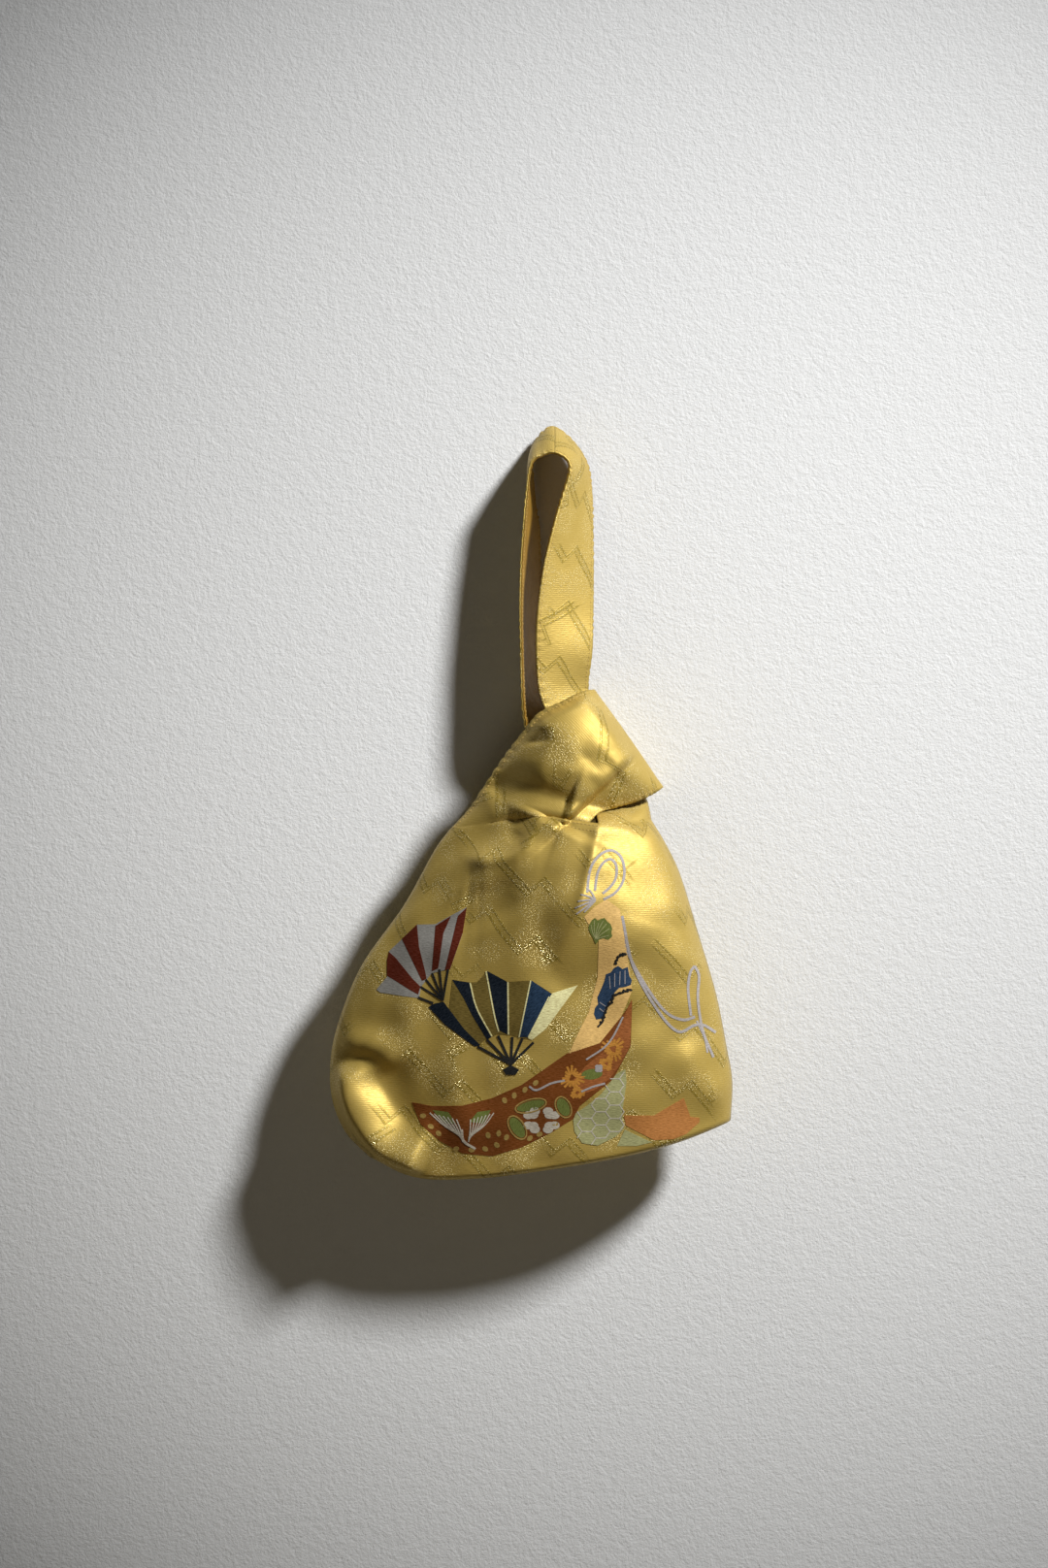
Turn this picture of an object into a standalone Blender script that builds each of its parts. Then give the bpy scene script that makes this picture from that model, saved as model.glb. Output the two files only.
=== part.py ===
import math

import bmesh
import bpy
import numpy as np
from mathutils import Vector

for thing in list(bpy.data.objects):
    bpy.data.objects.remove(thing, do_unlink=True)

# Sizes in millimetres
BAG_WIDTH = 267.0
BAG_HEIGHT = 503.0
BAG_DEPTH = 84.0
CLOTH = 1.0  # outer brocade with its interlining
LINING = 0.8
WOVEN = 0.4  # how far a woven figure stands up
GAP = 0.3  # between pieces that touch
STRAP_BOW = 1.5
MOST_STRETCH = 1.5  # at sharp corners
BAND_COLUMNS = 8
HEM_COLUMNS = 5
STRAP_COLUMNS = 5
BODY_ROWS = 13
STEPS_PER_STATION = 2

# The outlines below are drawn for this size and scaled to the size above
DRAWN_WIDTH = 267.0
DRAWN_HEIGHT = 503.0
DRAWN_DEPTH = 84.0
SIZE = np.array((BAG_WIDTH / DRAWN_WIDTH, BAG_DEPTH / DRAWN_DEPTH, BAG_HEIGHT / DRAWN_HEIGHT))
TO_METRES = 0.001

# Body outline seen from the front, as x and z from the hang point
LEFT_SIDE = [
    (-124, -487), (-140, -470), (-149, -445), (-148, -413), (-137, -378),
    (-125, -354), (-100, -319), (-80, -283), (-70, -269),
]
RIGHT_SIDE = [
    (118, -463), (119, -437), (115, -413), (108, -378), (96, -337),
    (84, -298), (74, -277), (65, -262),
]
BASE_LINE = [(-124, -487), (-92, -500), (-52, -500), (-6, -494), (45, -485), (81, -476), (118, -463)]
BAND_ROOT = (-70, -269)
HEM_LEFT = (-8, -258)
HEM_RIGHT = (29, -264)
STRAP_ROOT = (65, -262)

# Depth of the body: height along the side, seam y, front depth, back depth
DEPTHS = [
    (0.0, -36, 35, 38),
    (0.35, -36, 44, 38),
    (0.65, -34, 47, 30),
    (0.85, -32, 37, 18),
    (1.0, -31, 26, 8),
]
BASE_TURN = 0.05
BASE_ROWS = (0.0, 0.008, 0.022, 0.05)
SIDE_ROUND = 2.4
FRONT_PEAK = 0.62
LEFT_ROUND = 1.55

# Soft folds on the front: path, height towards the front, and the reach of the flank on the left
# of the path and on its right as it is walked, with the share of its length that each end fades over
FRONT_FOLDS = [
    ([(32, -255), (23, -294), (17, -318), (6.5, -348), (-7, -401)], 17.0, 66.0, 33.0, 0.04, 0.6),
    ([(-68, -283), (-46, -288), (-25, -286), (-14, -272), (-6.5, -255.5)], 10.0, 36.0, 16.0, 0.3, 0.1),
    ([(-148, -427), (-144, -449), (-135, -467), (-118, -485.5), (-85, -497)], 12.0, 21.0, 10.0, 0.12, 0.12),
    ([(-148, -417), (-132, -422), (-118, -437), (-103, -457), (-81, -475)], -10.0, 26.0, 10.0, 0.1, 0.3),
    ([(77, -409), (98, -430), (115, -454)], 3.0, 10.0, 14.0, 0.3, 0.3),
]
FOLD_FADE = 0.1

# Short handle from the front body round the neck to the back body: upper edge, middle, lower edge
BAND = [
    ((-70, -31, -269), (-40, -52, -263), (-8, -57, -258)),
    ((-57, -33, -255), (-28, -55, -255), (-3, -50, -257)),
    ((-46, -36, -238), (-15, -58, -248), (5, -46, -261)),
    ((-33, -39, -219), (-2, -60, -238), (16, -48, -263)),
    ((-20, -43, -202), (12, -61, -228), (28, -51, -258)),
    ((-10, -46, -190), (22, -61, -221), (40, -51, -253)),
    ((6, -47, -182), (35, -58, -214), (54, -48, -249)),
    ((18, -43, -176), (43, -51, -209), (66, -41, -244)),
    ((26.5, -30, -174), (50, -28, -206), (73, -28, -240)),
    ((22, -8, -175), (46, -5, -208), (68, -6, -242)),
    ((8, 5, -181), (36, 6, -216), (58, 5, -247)),
    ((-6, 9, -190), (22, 10, -224), (42, 8, -254)),
    ((-22, 6, -207), (7, 8, -233), (31, 5, -259)),
    ((-40, -5, -230), (-13, 1, -245), (18, -3, -262)),
    ((-57, -18, -254), (-30, -10, -255), (3, -9, -257)),
    ((-70, -31, -269), (-40, -21, -263), (-8, -23, -258)),
]
BAND_SEAM = 11

# Long handle from the front body over the hang point to the back body: front edge, rear edge
STRAP = [
    ((29, -55, -264), (65, -31, -262)),
    ((27, -41, -254), (62, -29, -248)),
    ((19, -37, -235), (54, -26, -227)),
    ((7, -36, -212), (42, -23, -205)),
    ((-4, -37, -192), (29, -22, -188)),
    ((-10.5, -38, -173), (23.2, -21, -172)),
    ((-12.3, -38, -145), (25.8, -22, -147)),
    ((-11.2, -38, -120), (26.5, -16, -120)),
    ((-7, -37, -90), (26.7, -11, -90)),
    ((0, -34, -61), (26.5, -5, -62)),
    ((5.6, -31, -42), (26, 0, -40)),
    ((10.2, -28.5, -26), (23.4, 4.5, -19)),
    ((8.5, -27.5, -18.2), (14, 6, -3)),
    ((0.2, -27.5, -13.7), (0.5, 6, 7.6)),
    ((-7.5, -27.5, -15.3), (-8, 6, 3)),
    ((-14.9, -28, -21), (-14.5, 7.5, -9)),
    ((-18.2, -28.5, -42), (-13, 8, -40)),
    ((-20, -30, -61), (-10, 7.5, -61)),
    ((-21.8, -31, -88), (-9, 6, -88)),
    ((-22.5, -33, -118), (-9, 4, -118)),
    ((-22, -34, -145), (-8, 3, -145)),
    ((-21.4, -35, -173), (-5, 2.5, -170)),
    ((-20.3, -32, -191), (0, 2, -184)),
    ((-16, -26, -207), (8, -1, -199)),
    ((-3, -18, -220), (26, -6, -212)),
    ((12, -15, -237), (45, -15, -230)),
    ((24, -18, -252), (60, -24, -248)),
    ((29, -23, -264), (65, -31, -262)),
]
STRAP_SEAM = 13


def spline(points, at):
    """Points on a curve through the given points, at positions counted in points."""
    p = np.array(points, float)
    before = np.concatenate([[2 * p[0] - p[1]], p, [2 * p[-1] - p[-2]]])
    at = np.clip(np.atleast_1d(np.array(at, float)), 0, len(p) - 1)
    i = np.minimum(at.astype(int), len(p) - 2)
    t = (at - i).reshape([-1] + [1] * (p.ndim - 1))
    a, b, c, d = before[i], before[i + 1], before[i + 2], before[i + 3]
    return b + 0.5 * t * (c - a + t * (2 * a - 5 * b + 4 * c - d + t * (3 * (b - c) + d - a)))


def by_length(points, fractions):
    """Points on the same curve at fractions of its length."""
    fine = spline(points, np.linspace(0, len(points) - 1, 40 * len(points)))
    run = np.concatenate([[0], np.cumsum(np.linalg.norm(np.diff(fine, axis=0), axis=1))])
    return np.stack([np.interp(fractions, run / run[-1], fine[:, k]) for k in range(fine.shape[1])], 1)


def smooth(t):
    t = min(max(t, 0.0), 1.0)
    return t * t * (3 - 2 * t)


def nearest_on(path, x, z):
    """Distance to a path, whether the point lies on its right, and how far along it is, from 0 to 1."""
    lengths = [math.dist(a, b) for a, b in zip(path, path[1:])]
    nearest = (1e9, False, 0.0)
    for k, (x0, z0) in enumerate(path[:-1]):
        dx, dz = path[k + 1][0] - x0, path[k + 1][1] - z0
        t = min(max(((x - x0) * dx + (z - z0) * dz) / (dx * dx + dz * dz), 0), 1)
        off_x, off_z = x - x0 - t * dx, z - z0 - t * dz
        distance = math.hypot(off_x, off_z)
        if distance < nearest[0]:
            along = (sum(lengths[:k]) + t * lengths[k]) / sum(lengths)
            nearest = (distance, dx * off_z - dz * off_x < 0, along)
    return nearest


def fold_height(x, z):
    total = 0.0
    for path, height, left_reach, right_reach, fade_in, fade_out in FRONT_FOLDS:
        distance, on_right, along = nearest_on(path, x, z)
        d = distance / (right_reach if on_right else left_reach)
        total += height * math.exp(-(d**1.3)) * smooth(along / fade_in) * smooth((1 - along) / fade_out)
    return total


def body_grid(side):
    """Rows of points from the bottom seam up. side is -1 for the front and 1 for the back."""
    columns = BAND_COLUMNS + HEM_COLUMNS + STRAP_COLUMNS
    u = np.linspace(0, 1, columns + 1)
    v = np.concatenate([BASE_ROWS, BASE_TURN + (1 - BASE_TURN) * np.linspace(0, 1, BODY_ROWS + 1)[1:]])
    corners = [BAND_ROOT, HEM_LEFT, HEM_RIGHT, STRAP_ROOT]
    at = [0, BAND_COLUMNS, BAND_COLUMNS + HEM_COLUMNS, columns]
    i = np.arange(columns + 1)
    top = np.stack([np.interp(i, at, [c[k] for c in corners]) for k in range(2)], 1)
    base = by_length(BASE_LINE, u)
    left, right = by_length(LEFT_SIDE, v), by_length(RIGHT_SIDE, v)
    grid = np.zeros((len(v), len(u), 3))
    heights = [d[0] for d in DEPTHS]
    for j, vv in enumerate(v):
        seam, front, back = (np.interp(vv, heights, [d[k] for d in DEPTHS]) for k in (1, 2, 3))
        depth = front if side < 0 else back
        if vv < BASE_TURN:
            depth *= (1 - (1 - vv / BASE_TURN) ** 3) ** (1 / 3)
        for k, uu in enumerate(u):
            xz = (1 - vv) * base[k] + vv * top[k] + (1 - uu) * left[j] + uu * right[j]
            xz -= (1 - vv) * ((1 - uu) * base[0] + uu * base[-1])
            xz -= vv * ((1 - uu) * top[0] + uu * top[-1])
            peak = FRONT_PEAK if side < 0 else 0.5
            across = 1 - uu / peak if uu < peak else 1 - (1 - uu) / (1 - peak)
            power = LEFT_ROUND if side < 0 and uu < peak else SIDE_ROUND
            rounded = (1 - across**power) ** (1 / power)
            y = seam + side * (GAP / 2 + depth * rounded)
            if side < 0 and vv > BASE_TURN / 2:
                y -= fold_height(xz[0], xz[1]) * rounded * smooth((1 - vv) / FOLD_FADE)
            grid[j, k] = (xz[0], y, xz[1])
    return grid


def across_line(station, t):
    """Points across a ribbon at fractions t of its width."""
    t = t[:, None]
    if len(station) == 2:
        return station[0] * (1 - t) + station[1] * t
    a, m, b = station
    return a * (1 - t) * (1 - 2 * t) + m * 4 * t * (1 - t) + b * t * (2 * t - 1)


def ribbon_rows(stations, first, last, columns):
    """Rows of points across a ribbon from one station to another, either way round."""
    count = abs(last - first) * STEPS_PER_STATION
    t = np.linspace(0, 1, columns + 1)
    rows = []
    for s in spline(np.array(stations, float), np.linspace(first, last, count + 1)):
        rows.append(across_line(s, t))
    return np.array(rows)


class Surface:
    """One panel's middle surface: points and faces."""

    def __init__(self):
        self.points = []
        self.faces = []

    def rows(self, grid, first=None, flip=False):
        """Adds a grid of points. first holds the indices of an existing first row."""
        ids = [list(first)] if first is not None else []
        for row in grid[1:] if first is not None else grid:
            start = len(self.points)
            self.points.extend(np.array(p, float) for p in row)
            ids.append(list(range(start, start + len(row))))
        for a, b in zip(ids, ids[1:]):
            for k in range(len(a) - 1):
                face = (a[k], a[k + 1], b[k + 1], b[k])
                self.faces.append(face[::-1] if flip else face)
        return ids

    def split(self):
        """Cuts each four-sided face along its shorter diagonal, so that every offset has the same facets."""
        halves = []
        for f in self.faces:
            if len(f) == 4:
                a, b, c, d = (self.points[i] * SIZE for i in f)
                if np.linalg.norm(c - a) <= np.linalg.norm(d - b):
                    halves += [(f[0], f[1], f[2]), (f[0], f[2], f[3])]
                else:
                    halves += [(f[1], f[2], f[3]), (f[1], f[3], f[0])]
            else:
                halves.append(f)
        self.faces = halves

    def normals(self):
        n = np.zeros((len(self.points), 3))
        for f in self.faces:
            a, b, c = (self.points[i] * SIZE for i in f[:3])
            cross = np.cross(b - a, c - a)
            if len(f) == 4:
                cross = np.cross(c - a, self.points[f[3]] * SIZE - b)
            for i in f:
                n[i] += cross
        return n / np.linalg.norm(n, axis=1)[:, None]

    def stretch(self, normals):
        """How much further each point is moved where its faces turn, so that an offset keeps its distance."""
        least = np.ones(len(self.points))
        for f in self.faces:
            a, b, c = (self.points[i] * SIZE for i in f[:3])
            cross = np.cross(b - a, c - a)
            cross /= np.linalg.norm(cross)
            for i in f:
                least[i] = min(least[i], float(np.dot(cross, normals[i])))
        return 1 / np.clip(least, 1 / MOST_STRETCH, 1)

    def rim(self):
        seen = {}
        for f in self.faces:
            for a, b in zip(f, f[1:] + f[:1]):
                if (b, a) in seen:
                    del seen[(b, a)]
                else:
                    seen[(a, b)] = True
        return list(seen)


def make_panel(side):
    surface = Surface()
    grid = body_grid(side)
    flip = side > 0
    ids = surface.rows(grid, flip=flip)
    top = ids[-1]
    left = top[: BAND_COLUMNS + 1]
    right = top[BAND_COLUMNS + HEM_COLUMNS :]
    if side < 0:
        band = ribbon_rows(BAND, 0, BAND_SEAM, BAND_COLUMNS)
        strap = ribbon_rows(STRAP, 0, STRAP_SEAM, STRAP_COLUMNS)
    else:
        band = ribbon_rows(BAND, len(BAND) - 1, BAND_SEAM, BAND_COLUMNS)
        strap = ribbon_rows(STRAP, len(STRAP) - 1, STRAP_SEAM, STRAP_COLUMNS)
    band_ids = surface.rows(band, first=left, flip=flip)
    strap_ids = surface.rows(strap, first=right, flip=flip)
    seams = {
        "side": [row[0] for row in ids] + [row[-1] for row in ids[1:]] + ids[0][1:-1],
        "band": band_ids[-1],
        "strap": strap_ids[-1],
    }
    corner = {i for row in ids[: len(BASE_ROWS)] for i in row[:2] + row[-2:]}
    return surface, seams, (ids, strap_ids, corner)


def bow_straps(surface, normals, strap_ids):
    """Lifts the middle of a strap a little, so that it isn't flat."""
    last = len(strap_ids) - 1
    for j, row in enumerate(strap_ids[1:], 1):
        for k, i in enumerate(row):
            t = k / (len(row) - 1)
            surface.points[i] = surface.points[i] + normals[i] * STRAP_BOW * 4 * t * (1 - t) * min(1, j / 3) * (j <= last)


def shell(name, surface, normals, inner, outer, material, faces=None):
    """A closed thin piece between two offsets of a surface."""
    faces = surface.faces if faces is None else faces
    used = sorted({i for f in faces for i in f})
    number = {i: k for k, i in enumerate(used)}
    low = [surface.points[i] * SIZE + normals[i] * inner for i in used]
    high = [surface.points[i] * SIZE + normals[i] * outer for i in used]
    n = len(used)
    out = [tuple(number[i] + n for i in f) for f in faces]
    out += [tuple(number[i] for i in reversed(f)) for f in faces]
    part = Surface()
    part.faces = faces
    out += [(number[b] + n, number[a] + n, number[a], number[b]) for a, b in part.rim()]
    mesh = bpy.data.meshes.new(name)
    mesh.from_pydata([Vector(p) * TO_METRES for p in low + high], [], out)
    mesh.validate()
    made = bpy.data.objects.new(name, mesh)
    bpy.context.scene.collection.objects.link(made)
    for polygon in mesh.polygons:
        polygon.use_smooth = True
    if material:
        mesh.materials.append(material)
    return made


def cloth_material(name, colour, roughness, metallic=0.0):
    material = bpy.data.materials.new(name)
    material.use_nodes = True
    shader = next(n for n in material.node_tree.nodes if n.type == "BSDF_PRINCIPLED")
    shader.inputs["Base Color"].default_value = (*colour, 1)
    shader.inputs["Roughness"].default_value = roughness
    shader.inputs["Metallic"].default_value = metallic
    return material


def triangulate(mesh):
    work = bmesh.new()
    work.from_mesh(mesh)
    bmesh.ops.triangulate(work, faces=work.faces[:])
    work.to_mesh(mesh)
    work.free()


def prism(outline):
    """A block with the given x and z outline, deep enough to pass through the front of the bag."""
    pts = [(x * SIZE[0], z * SIZE[2]) for x, z in outline]
    area = sum(a[0] * b[1] - b[0] * a[1] for a, b in zip(pts, pts[1:] + pts[:1]))
    if area < 0:
        pts.reverse()
    near, far = -3 * BAG_DEPTH, -0.1 * BAG_DEPTH
    n = len(pts)
    verts = [Vector((x, near, z)) * TO_METRES for x, z in pts] + [Vector((x, far, z)) * TO_METRES for x, z in pts]
    faces = [tuple(range(n)), tuple(range(2 * n - 1, n - 1, -1))]
    faces += [(k, k + n, (k + 1) % n + n, (k + 1) % n) for k in range(n)]
    mesh = bpy.data.meshes.new("cutter")
    mesh.from_pydata(verts, [], faces)
    triangulate(mesh)
    made = bpy.data.objects.new("cutter", mesh)
    made.hide_render = True
    made.display_type = "WIRE"
    bpy.context.scene.collection.objects.link(made)
    return made


def woven_figure(name, outline, layer, material, surface, normals, faces):
    """A thin raised piece of the front surface inside an outline."""
    low = CLOTH + GAP + layer * (WOVEN + GAP)
    made = shell(name, surface, normals, low, low + WOVEN, material, faces)
    triangulate(made.data)
    cutter = prism(outline)
    cut = made.modifiers.new("outline", "BOOLEAN")
    cut.operation = "INTERSECT"
    cut.solver = "EXACT"
    cut.object = cutter
    bpy.context.view_layer.update()
    graph = bpy.context.evaluated_depsgraph_get()
    mesh = bpy.data.meshes.new_from_object(made.evaluated_get(graph))
    made.modifiers.clear()
    made.data = mesh
    mesh.name = name
    mesh.materials.clear()
    mesh.materials.append(material)
    for polygon in mesh.polygons:
        polygon.material_index = 0
        polygon.use_smooth = False
    bpy.data.objects.remove(cutter, do_unlink=True)
    return made


def stroke(path, width):
    """The outline of a line of the given width."""
    sides = []
    p = np.array(path, float)
    for k in range(len(p)):
        d = p[min(k + 1, len(p) - 1)] - p[max(k - 1, 0)]
        d /= np.linalg.norm(d)
        n = np.array((-d[1], d[0])) * width / 2
        sides.append((tuple(p[k] + n), tuple(p[k] - n)))
    return [s[0] for s in sides] + [s[1] for s in reversed(sides)]


def star(pivot, tips, width):
    """Ribs that fan out clockwise from a pivot, as one outline."""
    c = np.array(pivot, float)
    ways = [(np.array(t, float) - c) / np.linalg.norm(np.array(t, float) - c) for t in tips]
    outline = []
    for k, (tip, d) in enumerate(zip(tips, ways)):
        n = np.array((-d[1], d[0])) * width / 2
        outline += [tuple(np.array(tip, float) + n), tuple(np.array(tip, float) - n)]
        if k + 1 < len(tips):
            middle = d + ways[k + 1]
            middle /= np.linalg.norm(middle)
            half = math.acos(min(1, float(np.dot(d, middle))))
            outline.append(tuple(c + middle * width / 2 / math.sin(half)))
    away = -(ways[0] + ways[-1])
    outline.append(tuple(c + away / np.linalg.norm(away) * width))
    return outline


def petals(centre, radius, count, depth=0.6):
    """A round flower with the given number of petals."""
    outline = []
    for k in range(2 * count):
        r = radius if k % 2 == 0 else radius * depth
        a = math.pi * k / count
        outline.append((centre[0] + r * math.cos(a), centre[1] + r * math.sin(a)))
    return outline


brocade = cloth_material("gold_brocade", (0.58, 0.42, 0.15), 0.42, 0.35)
satin = cloth_material("gold_lining_satin", (0.60, 0.43, 0.17), 0.38, 0.2)
red = cloth_material("thread_red", (0.50, 0.02, 0.02), 0.55)
vermilion = cloth_material("thread_vermilion", (0.62, 0.07, 0.03), 0.55)
salmon = cloth_material("thread_salmon", (0.72, 0.27, 0.16), 0.55)
white = cloth_material("thread_white", (0.80, 0.76, 0.66), 0.55)
black = cloth_material("thread_black", (0.03, 0.03, 0.035), 0.5)
blue = cloth_material("thread_blue", (0.05, 0.16, 0.42), 0.5)
bright_gold = cloth_material("thread_bright_gold", (0.80, 0.62, 0.24), 0.35, 0.5)
green = cloth_material("thread_green", (0.06, 0.24, 0.12), 0.55)
grey_green = cloth_material("thread_grey_green", (0.38, 0.42, 0.30), 0.55)
silver = cloth_material("thread_silver", (0.70, 0.68, 0.62), 0.35, 0.4)
orange = cloth_material("thread_orange", (0.75, 0.30, 0.05), 0.55)

# Both panels, with matching edges at every seam
front, front_seams, (front_rows, front_strap, front_corner) = make_panel(-1)
back, back_seams, (back_rows, back_strap, back_corner) = make_panel(1)
bow_straps(front, front.normals(), front_strap)
bow_straps(back, back.normals(), back_strap)
front_normals, back_normals = front.normals(), back.normals()
for key in front_seams:
    for f, b in zip(front_seams[key], back_seams[key]):
        n = front_normals[f] + back_normals[b]
        if key == "side":
            n[1] = 0
        n /= np.linalg.norm(n)
        front_normals[f] = back_normals[b] = n
for key in ("band", "strap"):
    for f, b in zip(front_seams[key], back_seams[key]):
        at = (front.points[f] + back.points[b]) / 2
        front.points[f] = at.copy()
        back.points[b] = at.copy()


def pull_back(surface, normals, ids, width):
    """Moves an end row of a ribbon back along the ribbon, square to its normals."""
    ends = set(ids)
    touching = {i: f for f in surface.faces for i in f if i in ends}
    for i in ids:
        inner = [k for k in touching[i] if k not in ends]
        k = min(inner, key=lambda q: np.linalg.norm(surface.points[q] - surface.points[i]))
        d = (surface.points[k] - surface.points[i]) * SIZE
        d -= normals[i] * np.dot(d, normals[i])
        d /= np.linalg.norm(d)
        surface.points[i] = surface.points[i] + d * width / SIZE


for key in ("band", "strap"):
    pull_back(front, front_normals, front_seams[key], GAP / 2 + 0.02)
    pull_back(back, back_normals, back_seams[key], GAP / 2 + 0.02)

front.split()
back.split()
front_reach, back_reach = front.stretch(front_normals), back.stretch(back_normals)
for key in front_seams:
    for f, b in zip(front_seams[key], back_seams[key]):
        front_reach[f] = back_reach[b] = max(front_reach[f], back_reach[b])
front_normals = front_normals * front_reach[:, None]
back_normals = back_normals * back_reach[:, None]
shell("front_panel", front, front_normals, 0.0, CLOTH, brocade)
shell("back_panel", back, back_normals, 0.0, CLOTH, brocade)

# The lining stops short of the pointed corners of the base
front_inside = [f for f in front.faces if not front_corner.intersection(f)]
back_inside = [f for f in back.faces if not back_corner.intersection(f)]
shell("front_lining", front, front_normals, -GAP - LINING, -GAP, satin, front_inside)
shell("back_lining", back, back_normals, -GAP - LINING, -GAP, satin, back_inside)

# Faces of the front that the woven figures are cut from
figure_rows = front_rows[len(BASE_ROWS) - 2 :]
body_ids = {i for row in figure_rows for i in row}
figure_faces = [f for f in front.faces if all(i in body_ids for i in f)]


def figure(name, outline, layer, material):
    return woven_figure(name, outline, layer, material, front, front_normals, figure_faces)


# Fan with red and white leaf and black ribs
figure("white_fan_leaf", [
    (-118.7, -374.9), (-111.4, -366.6), (-111.4, -349.7), (-101.8, -341.9), (-91.8, -331.5), (-79.4, -331),
    (-68.9, -325.7), (-64.4, -325.7), (-58.5, -320.1), (-61.2, -337.4), (-70.8, -361.1), (-81.8, -362.1),
    (-90.3, -377.8), (-99.8, -380.3),
], 0, white)
figure("red_fan_stripe_1", [
    (-110.5, -349.7), (-111.6, -365.8), (-105.9, -369.3), (-96.8, -373.8), (-90, -377.6), (-89.5, -373),
    (-94.9, -367.5), (-106, -353.8),
], 1, red)
figure("red_fan_stripe_2", [
    (-101.8, -341.2), (-91.8, -331.5), (-90.4, -346.5), (-85.8, -364.6), (-85.4, -369.2), (-87.7, -368.6),
], 1, red)
figure("red_fan_stripe_3", [
    (-79.4, -332.4), (-68.9, -325.7), (-74.1, -337.4), (-76.7, -355.6), (-77.6, -359.8), (-81.8, -361.6),
], 1, red)
figure("red_fan_stripe_4", [
    (-64.3, -325.7), (-58.9, -321), (-61.5, -337.4), (-67.8, -355.6), (-69.9, -360.6), (-73, -361.6),
], 1, red)
figure("black_fan_ribs", star(
    (-74.4, -383), [(-88, -376.6), (-85.4, -372), (-81.2, -367.6), (-76.9, -365.2), (-71.5, -364.8)], 1.3,
), 0, black)

# Fan with gold and blue leaf and dark ribs
figure("gold_fan_leaf", [
    (-84.5, -387), (-73.4, -397), (-53.2, -413.2), (-44.8, -408.7), (-37.8, -406.2), (-27.7, -406.8),
    (-14, -409), (-5.5, -401.5), (15.8, -372.4), (-1.5, -376.5), (-15.5, -369), (-31, -368),
    (-45.3, -362.7), (-56.5, -370), (-67.5, -369), (-71, -384.8),
], 0, bright_gold)
figure("blue_fan_stripe_1", [
    (-73.5, -383.3), (-83.4, -386.5), (-73, -398.3), (-53.2, -412.7), (-49.8, -411.4), (-60.4, -401),
], 1, blue)
figure("blue_fan_stripe_2", [
    (-67.6, -368.8), (-56.8, -370.4), (-52.2, -387.7), (-42.1, -406.6), (-45, -408), (-54.8, -392),
], 1, blue)
figure("blue_fan_stripe_3", [
    (-44.4, -363), (-31.6, -370), (-31.6, -404.6), (-36.6, -402), (-39.3, -392.1),
], 1, blue)
figure("blue_fan_stripe_4", [
    (-15.1, -369.2), (-2, -378.3), (-17.4, -406.6), (-22.9, -406.6),
], 1, blue)
figure("blue_fan_ribs", star(
    (-28.9, -425), [(-49.5, -415.8), (-43.6, -411.4), (-36.7, -409.1), (-28.2, -409.6), (-21.5, -410), (-15.6, -411.6)],
    1.2,
), 0, black)

# Knotted cord woven in pale thread
figure("silver_cord_loop", stroke([
    (21.5, -315), (24.7, -293.2), (35.1, -282.1), (45.5, -290.6), (45.5, -303.6), (39.7, -312), (29.3, -312.6),
], 3.0), 0, silver)
figure("silver_cord_tail", stroke([
    (56.5, -331), (59.5, -350.5), (66.5, -375.5), (78.9, -396.2), (90.3, -398), (94, -385), (94, -361),
], 3.0), 0, silver)

# Bundled ribbons, each in its own colour
figure("salmon_ribbon", [
    (20.2, -326.3), (30.6, -342.5), (29.1, -366.6), (23.1, -390.5), (10.5, -413), (40, -412),
    (51.4, -375.4), (48.5, -348.4), (44, -320.5), (35.1, -316),
], 0, salmon)
figure("red_ribbon", [
    (-95.3, -450.5), (-81.3, -453), (-61.4, -452.7), (-41.6, -447.7), (-21.6, -438.8), (-1.7, -425), (9, -417),
    (39, -415.5), (38, -428), (24, -443), (12, -450), (-1.7, -470.6), (-21.6, -480.6), (-41.6, -483.5),
    (-61.4, -480), (-76.3, -475), (-89.2, -463),
], 0, red)
figure("hexagon_ribbon", [
    (42, -428), (48.5, -437), (43.4, -457.6), (47, -468), (41.6, -473.2), (29.3, -477), (18.9, -476),
    (12, -469), (13.8, -460), (22.4, -453.5), (32, -445.5),
], 0, grey_green)
figure("vermilion_ribbon", [
    (50.5, -460), (66.8, -459), (75.4, -454), (86.8, -447.7), (91.2, -456), (97, -460), (88.5, -465),
    (80, -469), (66.8, -471), (53.8, -467.5),
], 0, vermilion)
figure("green_pine", petals((31.2, -334.5), 8.4, 9, 0.82), 1, green)
figure("blue_pine", petals((39.5, -374), 11.5, 8, 0.8), 1, blue)
figure("white_flower", petals((-8.6, -462.2), 9.6, 4, 0.55), 1, white)
figure("crane_wing", [
    (-80, -461), (-60, -455.8), (-41, -461), (-47, -472), (-62, -478), (-73, -472),
], 1, green)
figure("orange_chrysanthemum_1", petals((12, -433), 7.8, 7, 0.8), 1, orange)
figure("orange_chrysanthemum_2", petals((34, -425), 6.5, 7, 0.8), 1, orange)
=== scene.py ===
import math
import time
import bpy
import numpy as np
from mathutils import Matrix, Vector
from mathutils.bvhtree import BVHTree
from mathutils.geometry import delaunay_2d_cdt


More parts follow.
